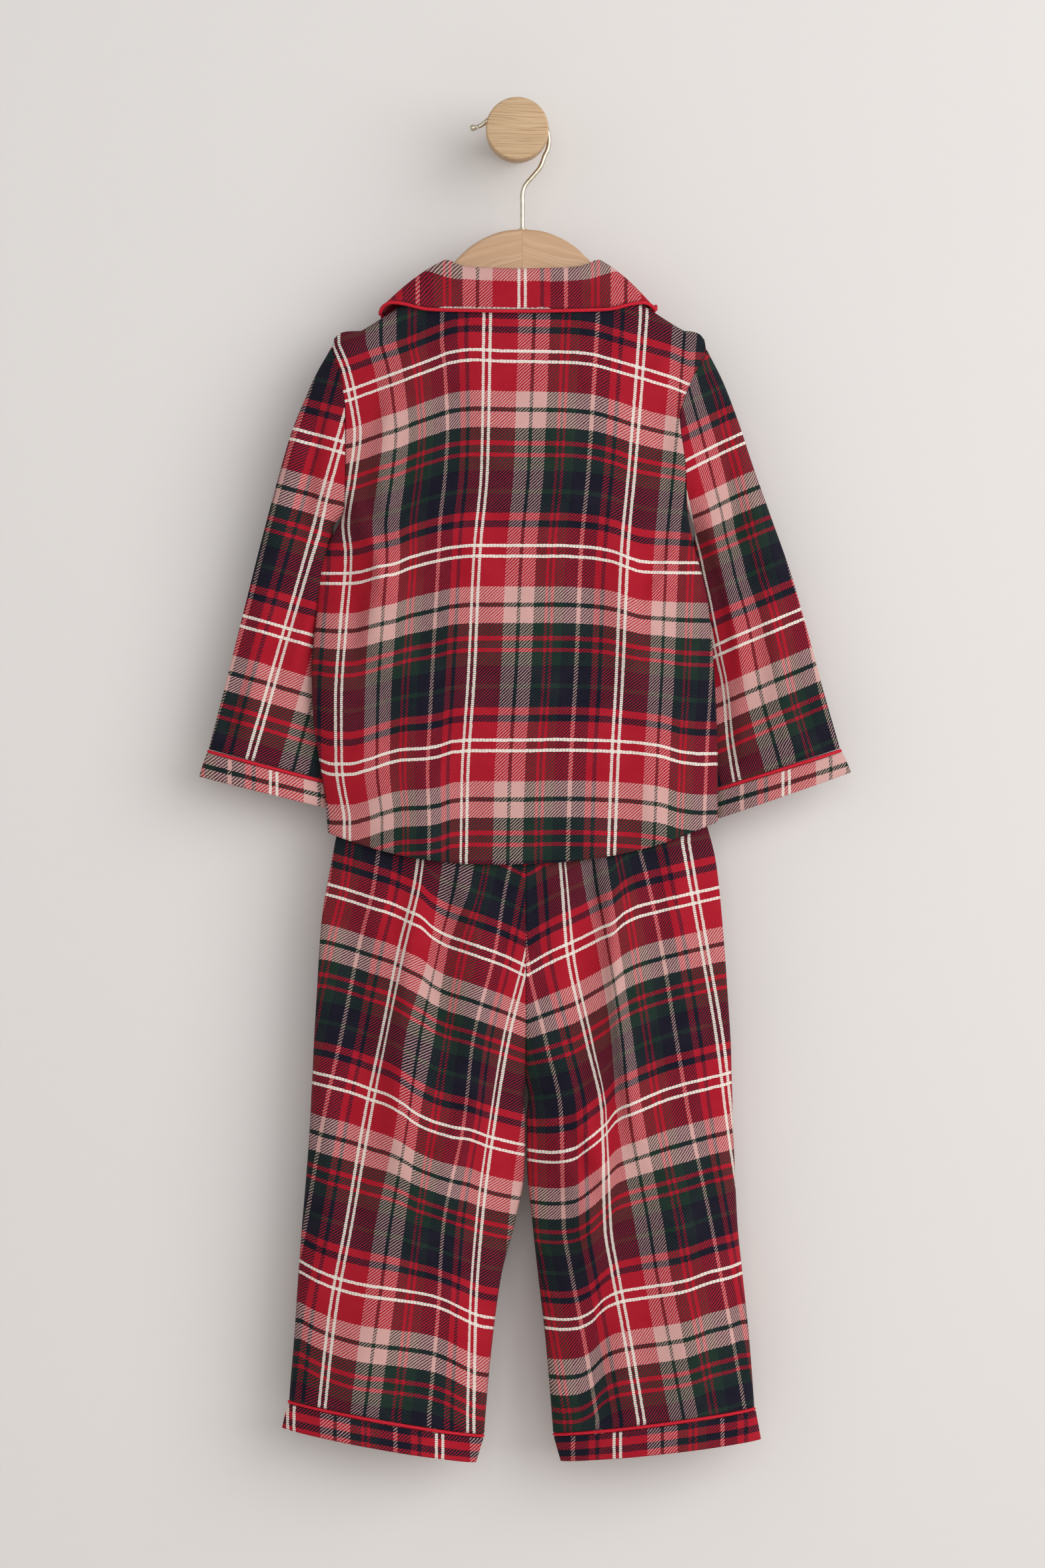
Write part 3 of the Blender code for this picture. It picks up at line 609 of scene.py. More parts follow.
# where the cream warp pairs run: height, then place across
backLines = {
    "far": (
        (-149, -127.8), (-169, -119.8), (-190, -115.1), (-213, -111.9), (-244, -115.6), (-277, -120.3),
        (-297, -118.4), (-347, -122.1), (-402, -125.4), (-445, -125), (-482, -119.3),
    ),
    "left": ((-128, -21.1), (-236, -22.9), (-295, -28.1), (-384, -32.3), (-458, -37), (-513, -37.9)),
    "right": ((-131, 88.9), (-236, 80.5), (-299, 74.9), (-384, 71.6), (-432, 68.8), (-506, 66)),
}
# the three pairs that run across the back: place across, then height
backPairs = (
    (
        (-122, -187), (-116, -185.2), (-100, -179.6), (-80, -172.8), (-60, -165), (-45, -159.8),
        (-30, -158.4), (-10, -159.3), (10, -159.5), (30, -159.7), (50, -161.3), (70, -166.3),
        (85, -170.5), (100, -174.6), (110, -177.5), (120, -181.8),
    ),
    (
        (-138, -313.9), (-120, -314.3), (-112, -313.8), (-100, -311.3), (-85, -308), (-75, -303.8),
        (-60, -299.8), (-45, -297), (-30, -295.8), (0, -295.8), (30, -295.8), (50, -296.8), (60, -298.2),
        (70, -300.8), (78, -304.3), (88, -306.7), (100, -307.1), (115, -306.8), (128, -306.4),
    ),
    (
        (-140, -445), (-130, -448.3), (-118, -448.4), (-105, -445.4), (-90, -440.4), (-80, -438.3),
        (-65, -437.6), (-55, -436), (-45, -432.8), (-30, -431.8), (0, -431.9), (30, -431.4), (60, -432),
        (80, -433.1), (100, -435.6), (115, -439.8), (130, -441.3), (140, -441),
    ),
)
# right sleeve: height, then the cream pair, the pink band's two sides and the red pair
rightSleeveLines = (
    (-150, 93, 104, 121, 128.5), (-170, 99, 110, 125.5, 134), (-183, 103, 113.5, 128.7, 139.3),
    (-211, 109.5, 120, 138, 146.7), (-234, 113, 125.8, 144.3, 153.4), (-251, 117, 130.7, 148.2, 157.4),
    (-268, 121, 136, 151.6, 161.4), (-283, 124.5, 139.5, 154, 165), (-297, 128, 142.5, 158, 168.6),
    (-314, 131.5, 146.2, 162, 173), (-328, 134.7, 149.3, 167, 177.8), (-343, 137.5, 152.6, 172, 182),
    (-357, 140.2, 155.7, 174.5, 185.3), (-371, 143, 157.4, 178.2, 188.5), (-386, 146.3, 159.3, 181.4, 191.4),
    (-400, 148, 161.7, 184.3, 194.8), (-414, 148.9, 165, 188.6, 198.8), (-428, 150, 168.6, 192.9, 203),
    (-443, 152.3, 172.9, 196.4, 207.5), (-462, 156.3, 177, 200.5, 212),
)
rightSleeveMarks = (warpPair, 23.93, 45.03, 55.6)

# folds: start x, z; end x, z; height; width; lean
backFolds = (
    (-94, -189, -92, -264, 3.4, 10, 0.3),
    (-101, -292, -104, -378, 4.2, 15, 0.5),
    (-60, -300, -66, -372, -2.2, 16, 0),
    (82, -286, 79, -384, 4.0, 15, -0.5),
    (48, -310, 46, -400, -1.8, 18, 0),
    (-57, -452, -60, -522, 3.2, 13, 0),
    (105, -205, 98, -290, -2.4, 9, 0),
    (119, -262, 92, -330, 3.0, 8, 0.3),
    (-118, -262, -88, -330, 3.4, 8, -0.3),
    (-124, -285, -110, -400, -2.2, 9, 0),
    (10, -440, 12, -520, -1.6, 20, 0),
    (96, -420, 92, -505, 2.6, 12, 0),
    (-20, -150, -30, -250, 1.6, 24, 0),
    (52, -150, 60, -250, 1.6, 22, 0),
    (-112, -158, -70, -178, 1.8, 8, 0.2),
    (112, -160, 74, -182, 1.8, 8, -0.2),
)
frontFolds = (
    (-88, -200, -84, -290, 3.0, 12, 0.3), (86, -210, 82, -300, 3.0, 12, -0.3),
    (-60, -330, -64, -440, 3.2, 15, 0), (66, -320, 70, -450, 3.2, 16, 0),
    (-116, -268, -80, -340, 2.8, 9, 0), (112, -268, 82, -340, 2.8, 9, 0),
    (-100, -400, -96, -490, -2.0, 12, 0), (104, -400, 100, -490, -2.0, 12, 0),
    (-36, -190, -34, -420, 1.2, 12, 0), (42, -190, 40, -420, 1.2, 12, 0),
)
sleeveFolds = {
    -1: (
        (-150, -190, -182, -310, 3.2, 9, 0.3), (-132, -262, -160, -380, 3.0, 9, -0.3),
        (-172, -330, -196, -436, 2.6, 10, 0), (-130, -340, -150, -440, -2.2, 9, 0),
        (-140, -210, -158, -290, -1.8, 8, 0), (-186, -372, -208, -440, -1.6, 7, 0),
    ),
    1: (
        (148, -190, 186, -310, 3.2, 9, -0.3), (130, -262, 160, -380, 3.0, 9, 0.3),
        (176, -330, 200, -436, 2.6, 10, 0), (130, -350, 152, -446, -2.2, 9, 0),
        (140, -210, 160, -290, -1.8, 8, 0), (192, -372, 214, -440, -1.6, 7, 0),
    ),
}


def boardTop(x):
    return smooth(boardRows, np.abs(np.asarray(x, float) - hang["boardX"]), 1)


def shoulderLine(x):
    return boardTop(x) + hang["lift"]


def neckLine(x, front):
    across = np.clip(np.abs(x - hang["boardX"]) / hang["neckHalf"], 0, 1)
    side = float(boardTop(hang["boardX"] + hang["neckHalf"])) + hang["lift"]
    if front:
        return side - 48.0 * (1 - across ** 2) ** 0.8
    return side - 8.5 * np.sqrt(1 - across ** 3)


def hemLine(u):
    return -493.0 + 8.0 * (u + 1) / 2 - 26.0 * (1 - np.abs(u) ** 2.4)


def armholeEnds(side):
    tip = tips[side]
    low = float(hemLine(side))
    return tip, tip - hang["roundOver"] + (low - tip + hang["roundOver"]) * hang["underShare"]


def armholeReach(z, side):
    tip, under = armholeEnds(side)
    s = np.clip((tip - z) / (tip - under), 0, 1)
    return hang["armhole"] * (4 * s * (1 - s)) ** 0.6


def topDepth(x, z, front):
    left, right = smooth(topRows, z, 1), smooth(topRows, z, 2)
    u = np.clip((x - (left + right) / 2) / ((right - left) / 2), -1, 1)
    below = np.clip((shoulderLine(x) - z) / hang["roundOver"], 0, 1)
    over = hang["overReach"] * np.sqrt(1 - (1 - below) ** 2) * (1 - 0.55 * ease((-200 - z) / 120))
    edge = np.abs(u) ** 16
    bulge = smooth(topRows, z, 4 if front else 3) * ease((shoulderLine(x) - z) / 60)
    reach = np.where(u < 0, armholeReach(z, -1), armholeReach(z, 1))
    return over * (1 - edge) + reach * edge + bulge * (1 - u * u) ** 0.75 + seam / 2


def between(x, lines, marks, before=1.0, after=1.0):
    # across the cut, from warp lines seen at these places
    place = np.where(x < lines[0], marks[0] + before * (x - lines[0]), marks[-1] + after * (x - lines[-1]))
    for left, right, low, high in zip(lines, lines[1:], marks, marks[1:]):
        share = (x - left) / (right - left)
        place = np.where((share >= 0) & (share < 1), low + (high - low) * share, place)
    return place


def downBetween(x, z, pairs):
    # down the cut, from the pairs of cream weft lines
    heights = [smooth(rows, x) for rows in pairs]
    place = np.where(z > heights[0], heights[0] - z, (len(pairs) - 1) * weftRepeat + heights[-1] - z)
    for k, (upper, lower) in enumerate(zip(heights, heights[1:])):
        share = (upper - z) / (upper - lower)
        place = np.where((share >= 0) & (share < 1), (k + share) * weftRepeat, place)
    return place + weftPair


def backCheck(x, z):
    far, left, right = (smooth(backLines[key], z) for key in ("far", "left", "right"))
    lines = (far, left, right, right + 21)
    marks = (warpPair - warpRepeat, warpPair, warpPair + warpRepeat, warpPair + warpRepeat + 21)
    return np.stack([between(x, lines, marks, 1.0, 1.2), downBetween(x, z, backPairs)], -1)


def bodyPanel(across, front, folds, seed):
    steps = 136
    drops = np.concatenate([[0, 0.5, 1.4, 2.8, 4.8], np.full(steps, hang["roundOver"])])
    shares = np.concatenate([np.zeros(5), np.linspace(0, 1, steps)])
    u = np.asarray(across, float)[:, None]
    shoulder = hang["middleX"] + u * hang["shoulderHalf"]
    onNeck = np.abs(shoulder - hang["boardX"]) < hang["neckHalf"]
    tip = np.where(u < 0, tips[-1], tips[1])
    side = np.abs(u) ** 40
    arm = np.maximum(shoulderLine(shoulder), tip)
    top = np.where(onNeck, neckLine(shoulder, front), arm * (1 - side) + tip * side)
    low = hemLine(u)
    z = top - drops + (low - top + hang["roundOver"]) * shares
    left, right = (
        np.where(z > tips[-1], atTip, smooth(topRows, z, c)) for c, atTip in ((1, -130.0), (2, 133.0))
    )
    x = shoulder + ((left + right) / 2 + u * (right - left) / 2 - shoulder) * ease((top - z) / 60)
    x = x * (1 - side) + np.where(u < 0, left, right) * side
    fade = (1 - np.abs(u) ** 10) * ease((top - z - 6) / 30)
    lift = foldLift(x, z, folds) + drape(x, z, seed)
    hemRipple = 0.5 * np.sin(x / 9.0 + 3 * np.sin(x / 31.0)) * ease((-440 - z) / 60)
    depth = np.maximum(topDepth(x, z, front) + fade * (lift + hemRipple), seam / 2)
    points = np.stack([x, hang["y"] + (depth if front else -depth), z], -1)
    return points, backCheck(x, z)


def spread(low, high, count):
    # places closer together near -1 and 1
    t = np.linspace(0, 1, count)
    even = low + (high - low) * t
    return np.clip(even + 0.012 * np.sin(math.pi * even), -1, 1)


def declare(piece, nodes):
    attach(piece, "root")
    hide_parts(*nodes)


def makeBody():
    corner = [
        hang["boardX"] + way * (hang["neckHalf"] + past) for way in (-1, 1) for past in (-0.4, 0.4)
    ]
    corner = [(c - hang["middleX"]) / hang["shoulderHalf"] for c in corner]
    whole = np.unique(np.concatenate([spread(-1, 1, 101), corner]))
    lap = 11.0 / hang["shoulderHalf"]
    for name, across, front, folds, seed in (
        ("back", whole, False, backFolds, 11),
        ("front_left", np.append(whole[whole < lap], lap), True, frontFolds, 12),
        ("front_right", np.insert(whole[whole > -lap], 0, -lap), True, frontFolds, 12),
    ):
        points, uv = bodyPanel(across, front, folds, seed)
        if name == "front_right":
            points[..., 1] += 2.2 * (1 - ease((points[..., 0] - 12) / 30))
        piece = clothGrid(f"jacket_{name}", points, uv)
        declare(piece, [f"top_{name}"])


# ---------- sleeves, cuffs and piping ----------

def tableAt(rows, t):
    numbered = [(k, *row) for k, row in enumerate(rows)]
    return [smooth(numbered, t, c) for c in range(1, 8)]


def ringSides(count):
    # from the inner edge along the back to the outer edge, and along the front to the inner edge
    turn = np.linspace(math.pi, -math.pi, count + 1)[:-1]
    return (1 - np.cos(turn)) / 2, turn > 0


def outward(points):
    along = np.roll(points, -1, 0) - np.roll(points, 1, 0)
    normal = unit(np.cross(along, np.gradient(points, axis=1)))
    way = np.sign(((points - points.mean(0, keepdims=True)) * normal).sum(2).sum())
    return normal * way


def ringPoints(row, s, back):
    ox, oz, ix, iz, oy, iy, depth = row
    reach = depth * (4 * s * (1 - s)) ** 0.7
    y = hang["y"] + oy + (iy - oy) * s + np.where(back, -reach, reach)
    return np.stack(np.broadcast_arrays(ox + (ix - ox) * s, y, oz + (iz - oz) * s), -1)


def sleevePlace(x, z, side):
    if side < 0:
        return 0.961 * x - 0.275 * z + 59.8 + warpPair, -0.275 * x - 0.961 * z - 247.4 + weftPair
    lines = [smooth(rightSleeveLines, z, c) for c in range(1, 5)]
    across = between(x, lines, rightSleeveMarks, 1.1, 1.0)
    down = 1.044 * (0.39 * x - 0.92 * z) - 271.0 + weftPair
    return across, down - 0.08 * np.maximum(160 - x, 0) * (1 - ease((-z - 240) / 60))


def wrapped(across, outer, back):
    # on the front half the cut runs on round the outer edge
    return np.where(back, across, 2 * outer - across)


def sleeveSkin(side, around=104, down=128):
    rows = sleeveRows[side]
    s, back = ringSides(around)
    t = np.linspace(0, len(rows) - 1, down)
    points = ringPoints([c[None, :] for c in tableAt(rows, t)], s[:, None], back[:, None])
    tip, under = armholeEnds(side)
    z = tip + (under - tip) * s
    x = smooth(topRows, z, 1 if side < 0 else 2) + side * 0.5
    reach = armholeReach(z, side) + seam / 2
    start = np.stack([x, hang["y"] + np.where(back, -reach, reach), z], -1)
    # the head keeps the armhole's bow, less and less down the sleeve
    keepBow = np.interp(t, (0, 1, 2, 3), (1, 0.62, 0.25, 0))
    shift = (start - ringPoints(rows[0], s, back))[:, None, :] * keepBow[None, :, None]
    shift[..., 2] = 0
    points = points + shift
    x, z = points[..., 0], points[..., 2]
    outer, _ = sleevePlace(x[around // 2], z[around // 2], side)
    u, v = sleevePlace(x, z, side)
    uv = np.stack([wrapped(u, outer[None, :], back[:, None]), v], -1)
    uv = np.concatenate([uv, np.stack([2 * outer - u[0], v[0]], -1)[None]])
    lift = 1.2 * foldLift(x, z, sleeveFolds[side]) + 0.8 * drape(x, z, 30 + side + back[:, None] * 5)
    along = t[None, :] / (len(rows) - 1)
    fade = ease(along / 0.12) * ease((1 - along) / 0.05) * (4 * s * (1 - s))[:, None] ** 0.4
    points = points + outward(points) * (lift * fade)[..., None]
    return points, uv


def bandSkin(end, cuff, cuffX, startV, around=104, down=16, puff=0.9):
    s, back = ringSides(around)
    here, below = ringPoints(end, s, back), ringPoints(cuff, s, back)
    way = unit(below - here)
    start = here + way * 2 * pipeSlack
    share = np.linspace(0, 1, down)[None, :, None]
    points = start[:, None] * (1 - share) + below[:, None] * share
    length = np.linalg.norm(below - start, axis=1)
    u = points[..., 0] - cuffX + warpPair
    outer = u[around // 2]
    v = startV + share[..., 0] * length[:, None]
    uv = np.stack([wrapped(u, outer[None, :], back[:, None]), v], -1)
    uv = np.concatenate([uv, np.stack([2 * outer - u[0], v[0]], -1)[None]])
    out = outward(points)
    swell = puff * np.sin(math.pi * share[..., 0]) + 0.35 * np.sin(s * 19 + 2 * back)[:, None]
    points = points + out * (swell * (4 * s * (1 - s))[:, None] ** 0.3)[..., None]
    return points, uv, here + way * pipeSlack, here - way * 1.6, out[:, 0]


def stitchRow(name, path, outwards, away=0.62, closed=True):
    # a row of short stitches lying on the cloth
    length, space, radius, sides = 2.1, 1.3, 0.2, 5
    path = np.asarray(path, float) + np.asarray(outwards) * away
    if closed:
        path = np.concatenate([path, path[:1]])
    at = runAlong(path)
    turn = (2 * math.pi * np.arange(sides) / sides)[:, None]
    points, faces = [], []
    for begin in np.arange(0.5, at[-1] - length, length + space):
        spots = begin + length * np.array((0, 0.5, 1))
        spots = np.stack([np.interp(spots, at, path[:, c]) for c in range(3)], -1)
        way = unit(spots[2] - spots[0])
        one = unit(np.cross(way, (0.3, 0.2, 1.0)))
        two = np.cross(way, one)
        base = len(points) * sides
        for centre, size in zip(spots, (0.45, 1.0, 0.45)):
            points.append(centre + radius * size * (np.cos(turn) * one + np.sin(turn) * two))
        for face in gridFaces(3, sides, False, True)[2] + endFaces(3, sides):
            faces.append([base + k for k in face])
    piece = keep(name, newMesh(name, points, faces), finishes["dark thread"])
    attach(piece, "root")
    return piece


def makeSleeves():
    for side, word, cuffX in ((-1, "left", -171.8), (1, "right", 189.5)):
        points, uv = sleeveSkin(side)
        sleeve = clothGrid(f"arm_{word}", points, uv, ring=True)
        band, bandUv, cord, stitch, out = bandSkin(sleeveRows[side][-1], sleeveCuffs[side], cuffX, 33.7)
        cuff = clothGrid(f"arm_{word}_band", band, bandUv, thickness=2.0, ring=True)
        pipe = cordMesh(f"arm_{word}_trim", cord, pipeRadius, finishes["piping"])
        row = stitchRow(f"arm_{word}_stitches", stitch, out)
        declare(pipe, [f"sleeve_{word}_piping"])
        declare(
            sleeve, [f"sleeve_{word}"],
        )
        declare(cuff, [f"sleeve_{word}_cuff"])


# ---------- collar ----------

# by angle round the neck: heights of foot, fold and edge; widths of fold and edge
collarRows = (
    (0, -106.4, -96.5, -126, 54, 95), (30, -105.2, -95.5, -124.5, 54, 93), (50, -102.5, -93, -120.5, 54, 93),
    (62, -94.5, -91, -119.5, 54, 94), (78, -94.5, -90, -122, 54, 95), (90, -97, -91, -127, 54.5, 96),
    (102, -96, -90.5, -133, 54, 95), (112, -97.5, -92, -142, 53.5, 92), (122, -104, -97, -152, 52, 88),
    (150, -130, -118, -172, 50, 78), (180, -146, -134, -182, 50, 70),
)


standShare = 0.3     # part of the collar's width that stands


def offBody(points, clear):
    # moved out until clear of the body
    x, y, z = points[..., 0], hang["y"] - points[..., 1], points[..., 2]
    wide = hang["overReach"]
    drop = hang["roundOver"] * (1 - np.sqrt(1 - np.clip(np.abs(y) / wide, 0, 0.97) ** 2))
    raised = np.maximum(z, shoulderLine(x) - drop + clear * 1.25)
    needed = np.where(y < 0, topDepth(x, z, True), topDepth(x, z, False)) + clear
    needed = needed + 2.4 * ((y < 0) & (np.abs(x - hang["boardX"]) < 45))
    pushed = np.copysign(np.maximum(np.abs(y), needed), y)
    weight = ease((np.abs(y) - 4.5) / 3)
    y = y * (1 - weight) + pushed * weight
    return np.stack([x, hang["y"] - y, z * weight + raised * (1 - weight)], -1)


def collarSkin(angles, across):
    turn = np.abs(angles)[:, None]
    c = across[None, :, None]
    foot, fold, edge, foldHalf, edgeHalf = (smooth(collarRows, turn, k) for k in range(1, 6))
    sine, cosine = np.sin(np.radians(angles))[:, None], np.cos(np.radians(angles))[:, None]
    roundX = np.copysign(np.abs(sine) ** 0.6, sine)
    roundY = np.copysign(np.abs(cosine) ** 0.5, cosine)
    inner, crest, outer = (
        np.stack(np.broadcast_arrays(hang["boardX"] + aside + half * roundX, deep * roundY, height), -1)
        for aside, half, deep, height in (
            (0, 56.0, np.where(roundY > 0, 9.0, 11.0), foot), (0, foldHalf, 12.5, fold),
            (-3.2, edgeHalf, 14.0, edge),
        )
    )
    stand = np.clip(c / standShare, 0, 1)
    fall = np.clip((c - standShare) / (1 - standShare), 0, None)
    points = np.where(c <= standShare, inner + (crest - inner) * stand, crest + (outer - crest) * fall)
    fall = np.clip(fall[..., 0], 0, 1)
    points[..., 2] += 3.0 * np.sin(math.pi * fall) * np.abs(roundX)
    swell = 1.7 * np.sin(math.pi * np.clip(fall * 2.5, 0, 1)) * np.clip(np.abs(points[..., 1]) / 6, 0, 1)
    points[..., 1] += np.copysign(swell, points[..., 1])
    points[..., 1] = hang["y"] - points[..., 1]
    clear = np.where(points[..., 1] < hang["y"], 2.1, 3.9)
    return np.where(c > standShare, offBody(points, clear), points)


def makeCollar():
    angles = np.linspace(-166, 166, 221)
    foldRow, middle = 8, len(angles) // 2
    across = np.concatenate([np.linspace(0, standShare, 9)[:-1], np.linspace(standShare, 1, 25)])
    points = collarSkin(angles, across)
    for _ in range(3):
        points[:, 1:-1] = (points[:, :-2] + 2 * points[:, 1:-1] + points[:, 2:]) / 4
    run = np.cumsum(np.linalg.norm(np.diff(points, axis=1), axis=2), axis=1)
    run = np.concatenate([np.zeros((len(angles), 1)), run], 1)
    run = run - run[:, foldRow:foldRow + 1]
    around = runAlong(points[:, foldRow])
    around = around - around[middle] + points[middle, foldRow, 0] - 3.5
    seen = (np.abs(angles) < 78)[:, None]
    u = np.where(seen, 3.5 - points[..., 0], -around[:, None]) + warpPair
    foldV = 39.3
    edgeV = 8.6 + 2.2 * ease((np.abs(points[:, -1:, 0] + 15.5) - 36) / 8)
    uv = np.stack([u, foldV - run / run[:, -1:] * (foldV - edgeV)], -1)
    collar = clothGrid("neck_collar", points, uv, thickness=1.4)
    edge = points[:, -1]
    path = edge + unit(edge - points[:, -4]) * (pipeRadius + 0.35)
    path = offBody(path, np.where(edge[:, 1] < hang["y"], 2.7, 4.9))
    pipe = cordMesh("neck_collar_trim", path, pipeRadius, finishes["piping"], closed=False)
    normal = unit(np.cross(np.gradient(points, axis=0), np.gradient(points, axis=1)))
    way = -np.sign(normal[middle, -3, 1])
    stitch = points[:, -1] * 0.6 + points[:, -2] * 0.4
    row = stitchRow("neck_collar_stitches", stitch, normal[:, -2] * way, 0.75, False)
    declare(pipe, ["collar_piping"])
    declare(collar, ["collar"])


# ---------- trousers ----------

# height, left leg's outer and inner edge, right leg's inner and outer edge
legRows = (
    (-428, -110, 6, 6, 116), (-452, -114, 6, 6, 121), (-490, -126, 6, 6, 134), (-515, -131, 6, 6, 140),
    (-558, -138, 6, 6, 144.5), (-611, -141.3, 6, 6, 148.3), (-645, -143.2, 6, 6, 150.3),
    (-666, -144.1, 6, 6, 150.8), (-678, -144.8, 4.2, 8.2, 151.2), (-694, -145.5, 5.6, 6.9, 151.6),
    (-730, -148, 5, 7.4, 153), (-768, -151.2, -2, 11, 154.8),
    (-805, -154, -11.5, 15, 158.5), (-848, -156.8, -17.5, 20, 163), (-894, -160.5, -22, 24, 166.5),
    (-920, -162, -24, 26, 168),
)
legDepthRows = ((-428, 9), (-520, 15), (-600, 19), (-690, 20), (-760, 19), (-920, 17))
hipDepthRows = (
    (-428, 14.6), (-452, 14.6), (-480, 14.5), (-520, 16), (-600, 17), (-660, 12), (-700, 8),
)
legShapes = {
    -1: {
        "outer": 1, "inner": 2, "end": (-893, -917),
        "cuff": (-165, -913, -30, -937, 0, 0, 19),
        # height, then outer cream pair, the pink band's two sides, rose line, inner cream pair
        "lines": (
            (-500, -66, -51, -28, -1, 28), (-530, -70, -55, -32.7, -8.2, 19),
            (-575, -81, -61.5, -48.7, -15.5, 8), (-640, -94, -79, -59, -31.3, -8.7),
            (-690, -104.5, -83.6, -68.2, -36.4, -17.2),
            (-770, -118.4, -99.5, -79, -52, -27.5), (-830, -129.5, -108.2, -87.3, -55.8, -31.6),
            (-900, -137.4, -117, -97, -62, -33),
        ),
        # the pairs across it: place across, then height
        "pairs": (
            (
                (-134, -533), (-120, -536.8), (-105, -541.4), (-90, -545.9), (-75, -552.2), (-68, -555.3),
                (-60, -562.7), (-50, -568.5), (-35, -573.4), (-20, -578.7), (-10, -582.5), (6, -590),
            ),
            (
                (-144, -665.5), (-130, -668.1), (-115, -672.2), (-103, -676.4), (-90, -680.1), (-80, -685.7),
                (-72, -692.1), (-65, -695.9), (-55, -699.8), (-45, -702.2), (-35, -703.6), (-21, -709),
                (6, -717),
            ),
            (
                (-152, -798.9), (-140, -804.5), (-127, -809.1), (-110, -812.7), (-90, -815.5), (-75, -817.7),
                (-60, -820.7), (-50, -824.4), (-40, -829.6), (-28, -835.6), (-17, -838.6), (0, -842),
            ),
        ),
        "cuffX": -54.8,
        "folds": (
            (-70, -530, -80, -720, 4.6, 14, 0.3), (-20, -560, -58, -800, 3.6, 17, -0.3),
            (-118, -560, -112, -760, -2.4, 14, 0), (-44, -540, -50, -660, -2.6, 12, 0),
            (-6, -640, -60, -720, 3.0, 12, 0.4), (-8, -690, -54, -800, 2.4, 14, 0.3),
            (-96, -760, -108, -900, 3.2, 18, 0), (-50, -800, -56, -905, -2.6, 16, 0),
            (-132, -620, -140, -800, 2.0, 9, 0), (9, -505, 10, -566, -3.4, 5, 0),
            (-40, -512, -30, -570, 1.8, 8, 0), (-100, -505, -96, -560, 1.6, 9, 0),
        ),
    },
    1: {
        "outer": 4, "inner": 3, "end": (-898, -916),
        "cuff": (171, -921, 31.5, -936, 0, 0, 19),
        "lines": (
            (-500, 31, 42, 61, 84, 118.5), (-530, 33.6, 46.4, 65.5, 91.8, 123.6),
            (-575, 36.7, 56.4, 71.8, 101.3, 131.8),
            (-640, 50.9, 66.4, 81, 111.8, 142.7), (-690, 61.5, 69.5, 87.6, 120, 148.2),
            (-770, 63.6, 82.7, 102.7, 136.4, 160), (-800, 68.4, 88, 107, 142, 165),
            (-839, 75.8, 95, 114.5, 149.5, 172), (-905, 87, 107, 127, 161, 184),
        ),
        "pairs": (
            (
                (8, -589), (18, -583), (30, -576.9), (38, -573.6), (50, -568), (60, -562.9), (66, -560.5),
                (75, -552.9), (85, -548.4), (100, -544.7), (115, -541.2), (127, -538.6), (143, -535.1),
            ),
            (
                (8, -720.3), (23, -721.3), (39, -718.7), (50, -711), (62, -701), (70, -691.1), (80, -686.2),
                (90, -682.1), (105, -676.5), (120, -672.3), (135, -668.9), (150, -665.5),
            ),
            (
                (17, -838), (30, -838.5), (42, -837.3), (52, -832.7), (60, -824.5), (67, -820), (75, -817.5),
                (90, -815), (105, -812.7), (120, -809.5), (135, -804.8), (150, -802.1), (157, -800),
            ),
        ),
        "cuffX": 70.4,
        "folds": (
            (67, -532, 80, -690, 5.6, 11, 0.4), (98, -560, 104, -700, -2.6, 14, 0),
            (40, -560, 46, -700, -2.8, 14, 0), (16, -640, 62, -730, 3.0, 12, -0.4),
            (20, -700, 66, -810, 2.4, 14, -0.3), (110, -740, 118, -900, 3.4, 18, 0),
            (62, -800, 66, -905, -2.6, 16, 0), (138, -600, 146, -780, 2.2, 9, 0),
            (53, -505, 54, -548, -3.6, 5, 0), (30, -508, 34, -600, 2.0, 9, 0),
            (112, -500, 108, -570, 1.8, 9, 0), (124, -560, 138, -660, -1.8, 8, 0),
        ),
    },
}
legMarks = (warpPair, 23.93, 45.03, 76.3, warpPair + warpRepeat)
crotchZ = -678.0
waistZ = -428.0
waistTall = 24.0


def waistShift(z):
    return -7.0 * ease((z + 505) / 60)


def trouserDepth(x, z, share):
    left, right = smooth(legRows, z, 1), smooth(legRows, z, 4)
    u = np.clip(np.abs((x - (left + right) / 2) / ((right - left) / 2)), 0, 1)
    hip = smooth(hipDepthRows, z) * (1 - u * u) ** 0.7
    tube = smooth(legDepthRows, z) * (4 * share * (1 - share)) ** 0.6
    part = ease((z + 600) / (crotchZ + 600))
    return hip * (1 - part) + tube * part + seam / 2


def legCheck(x, z, shape):
    lines = [smooth(shape["lines"], z, c) for c in range(1, 6)]
    return between(x, lines, legMarks), downBetween(x, z, shape["pairs"])


